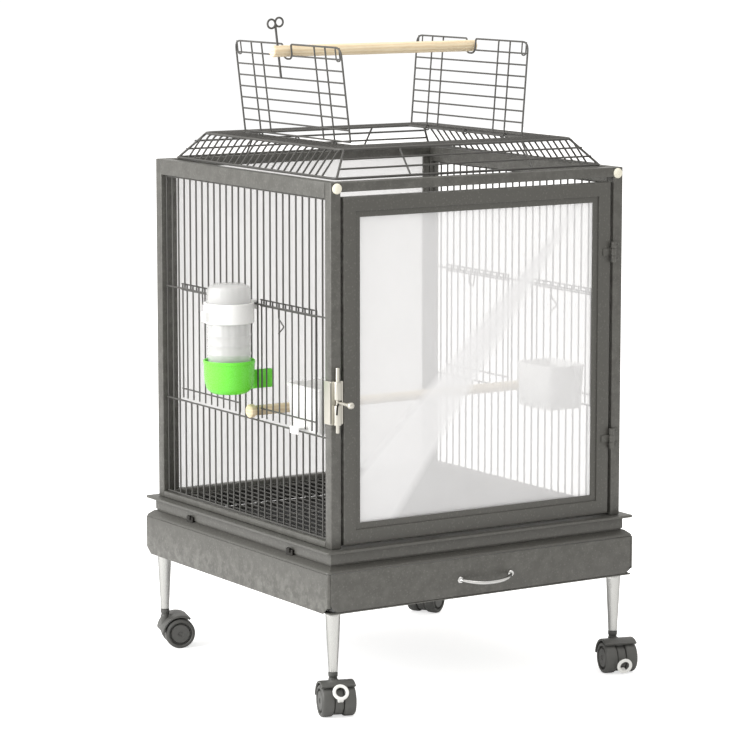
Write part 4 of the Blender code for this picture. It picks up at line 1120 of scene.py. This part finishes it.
# %% Food cups
CUP_HALF_X, CUP_HALF_Y, CUP_BACK = 0.030, 0.039, 0.2032
floor_z, rim_z, y = 0.335, 0.392, CUP_HOOK_Y
for side, sx in (("left", -1), ("right", 1)):
    centre = (sx * (CUP_BACK - CUP_HALF_X), y)
    levels = [(0.0090, floor_z), (0.0055, floor_z + 0.0003), (0.0040, floor_z + 0.0020), (0.0012, rim_z - 0.0040),
              (0.0, rim_z - 0.0034), (0.0, rim_z - 0.0006), (0.0006, rim_z), (0.0022, rim_z),
              (0.0028, rim_z - 0.0008), (0.0058, floor_z + 0.0040), (0.0075, floor_z + 0.0022),
              (0.0110, floor_z + 0.0018)]
    hook_x = np.sort([sx * (CUP_BACK - 0.0053), sx * 0.2134])
    lip_x = np.sort([sx * 0.2118, sx * 0.2134])
    tab_x = np.sort([sx * (CUP_BACK - 0.0053), sx * (CUP_BACK - 0.0028)])
    hooks = [block((hook_x[0], y - 0.010, 0.3390), (hook_x[1], y + 0.010, 0.3418), 0.0006, along=1),
             block((lip_x[0], y - 0.010, 0.3332), (lip_x[1], y + 0.010, 0.3405), 0.0005, along=1),
             block((tab_x[0], y - 0.010, 0.3390), (tab_x[1], y + 0.010, 0.3520), 0.0005, along=1)]
    name = f"food_cup_{side}"
    piece(f"hanging_cup_{side}", [vessel(levels, centre, CUP_HALF_X, CUP_HALF_Y, 0.009), *hooks], WHITE, name, name)

# %% Feeder
tube_low, tube_high = box_of("feeder_tube")
cup_low, cup_high = box_of("feeder_cup")
axis_x, axis_y = (tube_low[:2] + tube_high[:2]) / 2
base_z, top_z = tube_low[2], tube_high[2]
TUBE_R = 0.0272
ribs = []
for z in base_z + np.array([0.040, 0.052, 0.064]):
    ribs += [(TUBE_R, z - 0.0015), (0.0279, z - 0.0006), (0.0279, z + 0.0006), (TUBE_R, z + 0.0015)]
outer = [(TUBE_R, base_z + 0.0002), *ribs, (TUBE_R, top_z - 0.030), (0.0280, top_z - 0.024), (0.0278, top_z - 0.0095),
         (0.0256, top_z - 0.0042), (0.0190, top_z - 0.0008), (0.0, top_z)]
inner = [(0.0, top_z - 0.0018), (0.0182, top_z - 0.0026), (0.0240, top_z - 0.0056), (0.0262, top_z - 0.0104),
         (0.0262, top_z - 0.024), (0.0256, top_z - 0.030), (0.0256, base_z + 0.0002)]
piece("clear_tube", [turned(outer + inner, (axis_x, axis_y, 0), Z, 48, closed=True)], BOTTLE, "feeder",
      "feeder_tube")
floor_z, brim_z = cup_low[2], 0.416
bowl = rounded([(0, floor_z + 0.0022), (0.0205, floor_z + 0.0022), (0.0272, floor_z + 0.0070),
                (0.0300, floor_z + 0.0180), (0.0306, brim_z), (0.0325, brim_z), (0.0325, brim_z - 0.0040),
                (0.0318, brim_z - 0.0046), (0.0312, floor_z + 0.0170), (0.0285, floor_z + 0.0055),
                (0.0215, floor_z), (0, floor_z)], 0.0030, steps=5)
spout_mid = ((-0.2175 - 0.1840) / 2, axis_y)
spout_levels = [(0.0030, 0.3770), (0.0010, 0.3776), (0.0004, 0.3800), (0.0, 0.3990), (0.0005, 0.4000),
                (0.0011, 0.4000), (0.0015, 0.3990), (0.0019, 0.3806), (0.0024, 0.3792), (0.0036, 0.3790)]
piece("green_cup", [turned(bowl, (axis_x, axis_y, 0), Z, 48),
                    vessel(spout_levels, spout_mid, 0.01675, 0.0055, 0.0054)], GREEN, "feeder", "feeder_cup")
wire_top = UPPER_Z + 0.0015
collar = rounded([(0.0315, 0.4880), (0.0315, 0.4630), (0.0283, 0.4630), (0.0283, 0.4880)], 0.0008, closed=True)
tabs = [block((-0.2170, axis_y - 0.005, wire_top), (-0.2062, axis_y + 0.005, wire_top + 0.003), 0.0007, along=1),
        block((-0.2082, axis_y - 0.005, 0.4770), (-0.2062, axis_y + 0.005, wire_top + 0.002), 0.0007, along=1),
        block((-0.2840, axis_y - 0.005, 0.4660), (-0.2766, axis_y + 0.005, 0.4790), 0.0012, along=1)]
piece("white_collar", [turned(collar, (axis_x, axis_y, 0), Z, 48, closed=True), *tabs], WHITE, "feeder",
      "feeder_collar")

# %% [markdown]
# ## Floor, light and camera
# The cage is shown on plain white. The light comes from the upper left in a broad soft sheet with white all round,
# so that the left faces are lighter than the front ones and the shadows are faint. The camera stands well back with
# a long lens, as someone would who wants upright posts to stay upright.

# %% Floor
EXTENT, GLOW = 8.0, 0.62  # half its side, and the glow that only the camera sees
floor_mesh = bpy.data.meshes.new("studio_floor")
floor_mesh.from_pydata([(-EXTENT, -EXTENT, 0), (EXTENT, -EXTENT, 0), (EXTENT, EXTENT, 0), (-EXTENT, EXTENT, 0)], [],
                       [(0, 1, 2, 3)])
floor = bpy.data.objects.new("studio_floor", floor_mesh)
bpy.context.scene.collection.objects.link(floor)
floor_material, floor_tree, floor_shader, floor_at = start_material("studio_white", Roughness=1.0)
floor_shader.inputs["Emission Color"].default_value = (1, 1, 1, 1)
floor_ray = node(floor_tree, "ShaderNodeLightPath").outputs["Is Camera Ray"]
floor_tree.links.new(math_node(floor_tree, "MULTIPLY", floor_ray, GLOW), floor_shader.inputs["Emission Strength"])
floor_shader.inputs["Specular IOR Level"].default_value = 0.0
floor_tree.links.new(tinted(floor_tree, (0.93, 0.93, 0.93), group(floor_tree, "patchy", floor_at, 2.0, 0.01)[0]),
                     floor_shader.inputs["Base Color"])
floor_mesh.materials.append(floor_material)


# %% Light
def soft_light(name, place, target, size, power, color=(1, 1, 1)):
    """A rectangular lamp, its size in metres and its power in watts, turned to face the target."""
    data = bpy.data.lights.new(name, "AREA")
    data.shape, data.size, data.size_y, data.energy, data.color = "RECTANGLE", size[0], size[1], power, color
    lamp = bpy.data.objects.new(name, data)
    lamp.location = place
    lamp.rotation_euler = (Vector(target) - Vector(place)).to_track_quat("-Z", "Y").to_euler()
    bpy.context.scene.collection.objects.link(lamp)


LEFT_WATTS, TOP_WATTS = 78.0, 12.0
SEEN_WHITE, FELT_WHITE = 1.05, 0.86  # how bright the surround is to the camera, and to the cage
soft_light("left_sheet", (-2.6, 0.4, 1.5), (0, 0, 0.35), (2.2, 1.8), LEFT_WATTS)
soft_light("top_sheet", (0.2, -0.3, 2.6), (0, 0, 0.4), (1.8, 1.8), TOP_WATTS, (1.0, 0.985, 0.96))
world = bpy.data.worlds.new("white_surround")
bpy.context.scene.world = world
world.use_nodes = True
sky = world.node_tree
seen = sky.nodes["Background"]
seen.inputs["Color"].default_value = (1, 1, 1, 1)
seen.inputs["Strength"].default_value = SEEN_WHITE
felt = node(sky, "ShaderNodeBackground", [("Color", (1.0, 0.985, 0.955, 1)), ("Strength", FELT_WHITE)])
ray = node(sky, "ShaderNodeLightPath")
both = node(sky, "ShaderNodeMixShader", [(0, ray.outputs["Is Camera Ray"])])
sky.links.new(felt.outputs[0], both.inputs[1])
sky.links.new(seen.outputs[0], both.inputs[2])
sky.links.new(both.outputs[0], sky.nodes["World Output"].inputs["Surface"])

# %% Camera
camera = bpy.data.objects.new("camera", bpy.data.cameras.new("camera"))
camera.data.lens, camera.data.sensor_width = 156.9, 36.0
camera.location = (-2.2582, -3.5207, 0.9884)
look_at = Vector((-0.0121, 0.0077, 0.3748))
camera.rotation_euler = (look_at - camera.location).to_track_quat("-Z", "Y").to_euler()
bpy.context.scene.collection.objects.link(camera)
bpy.context.scene.camera = camera
bpy.context.scene.view_settings.view_transform = "Standard"
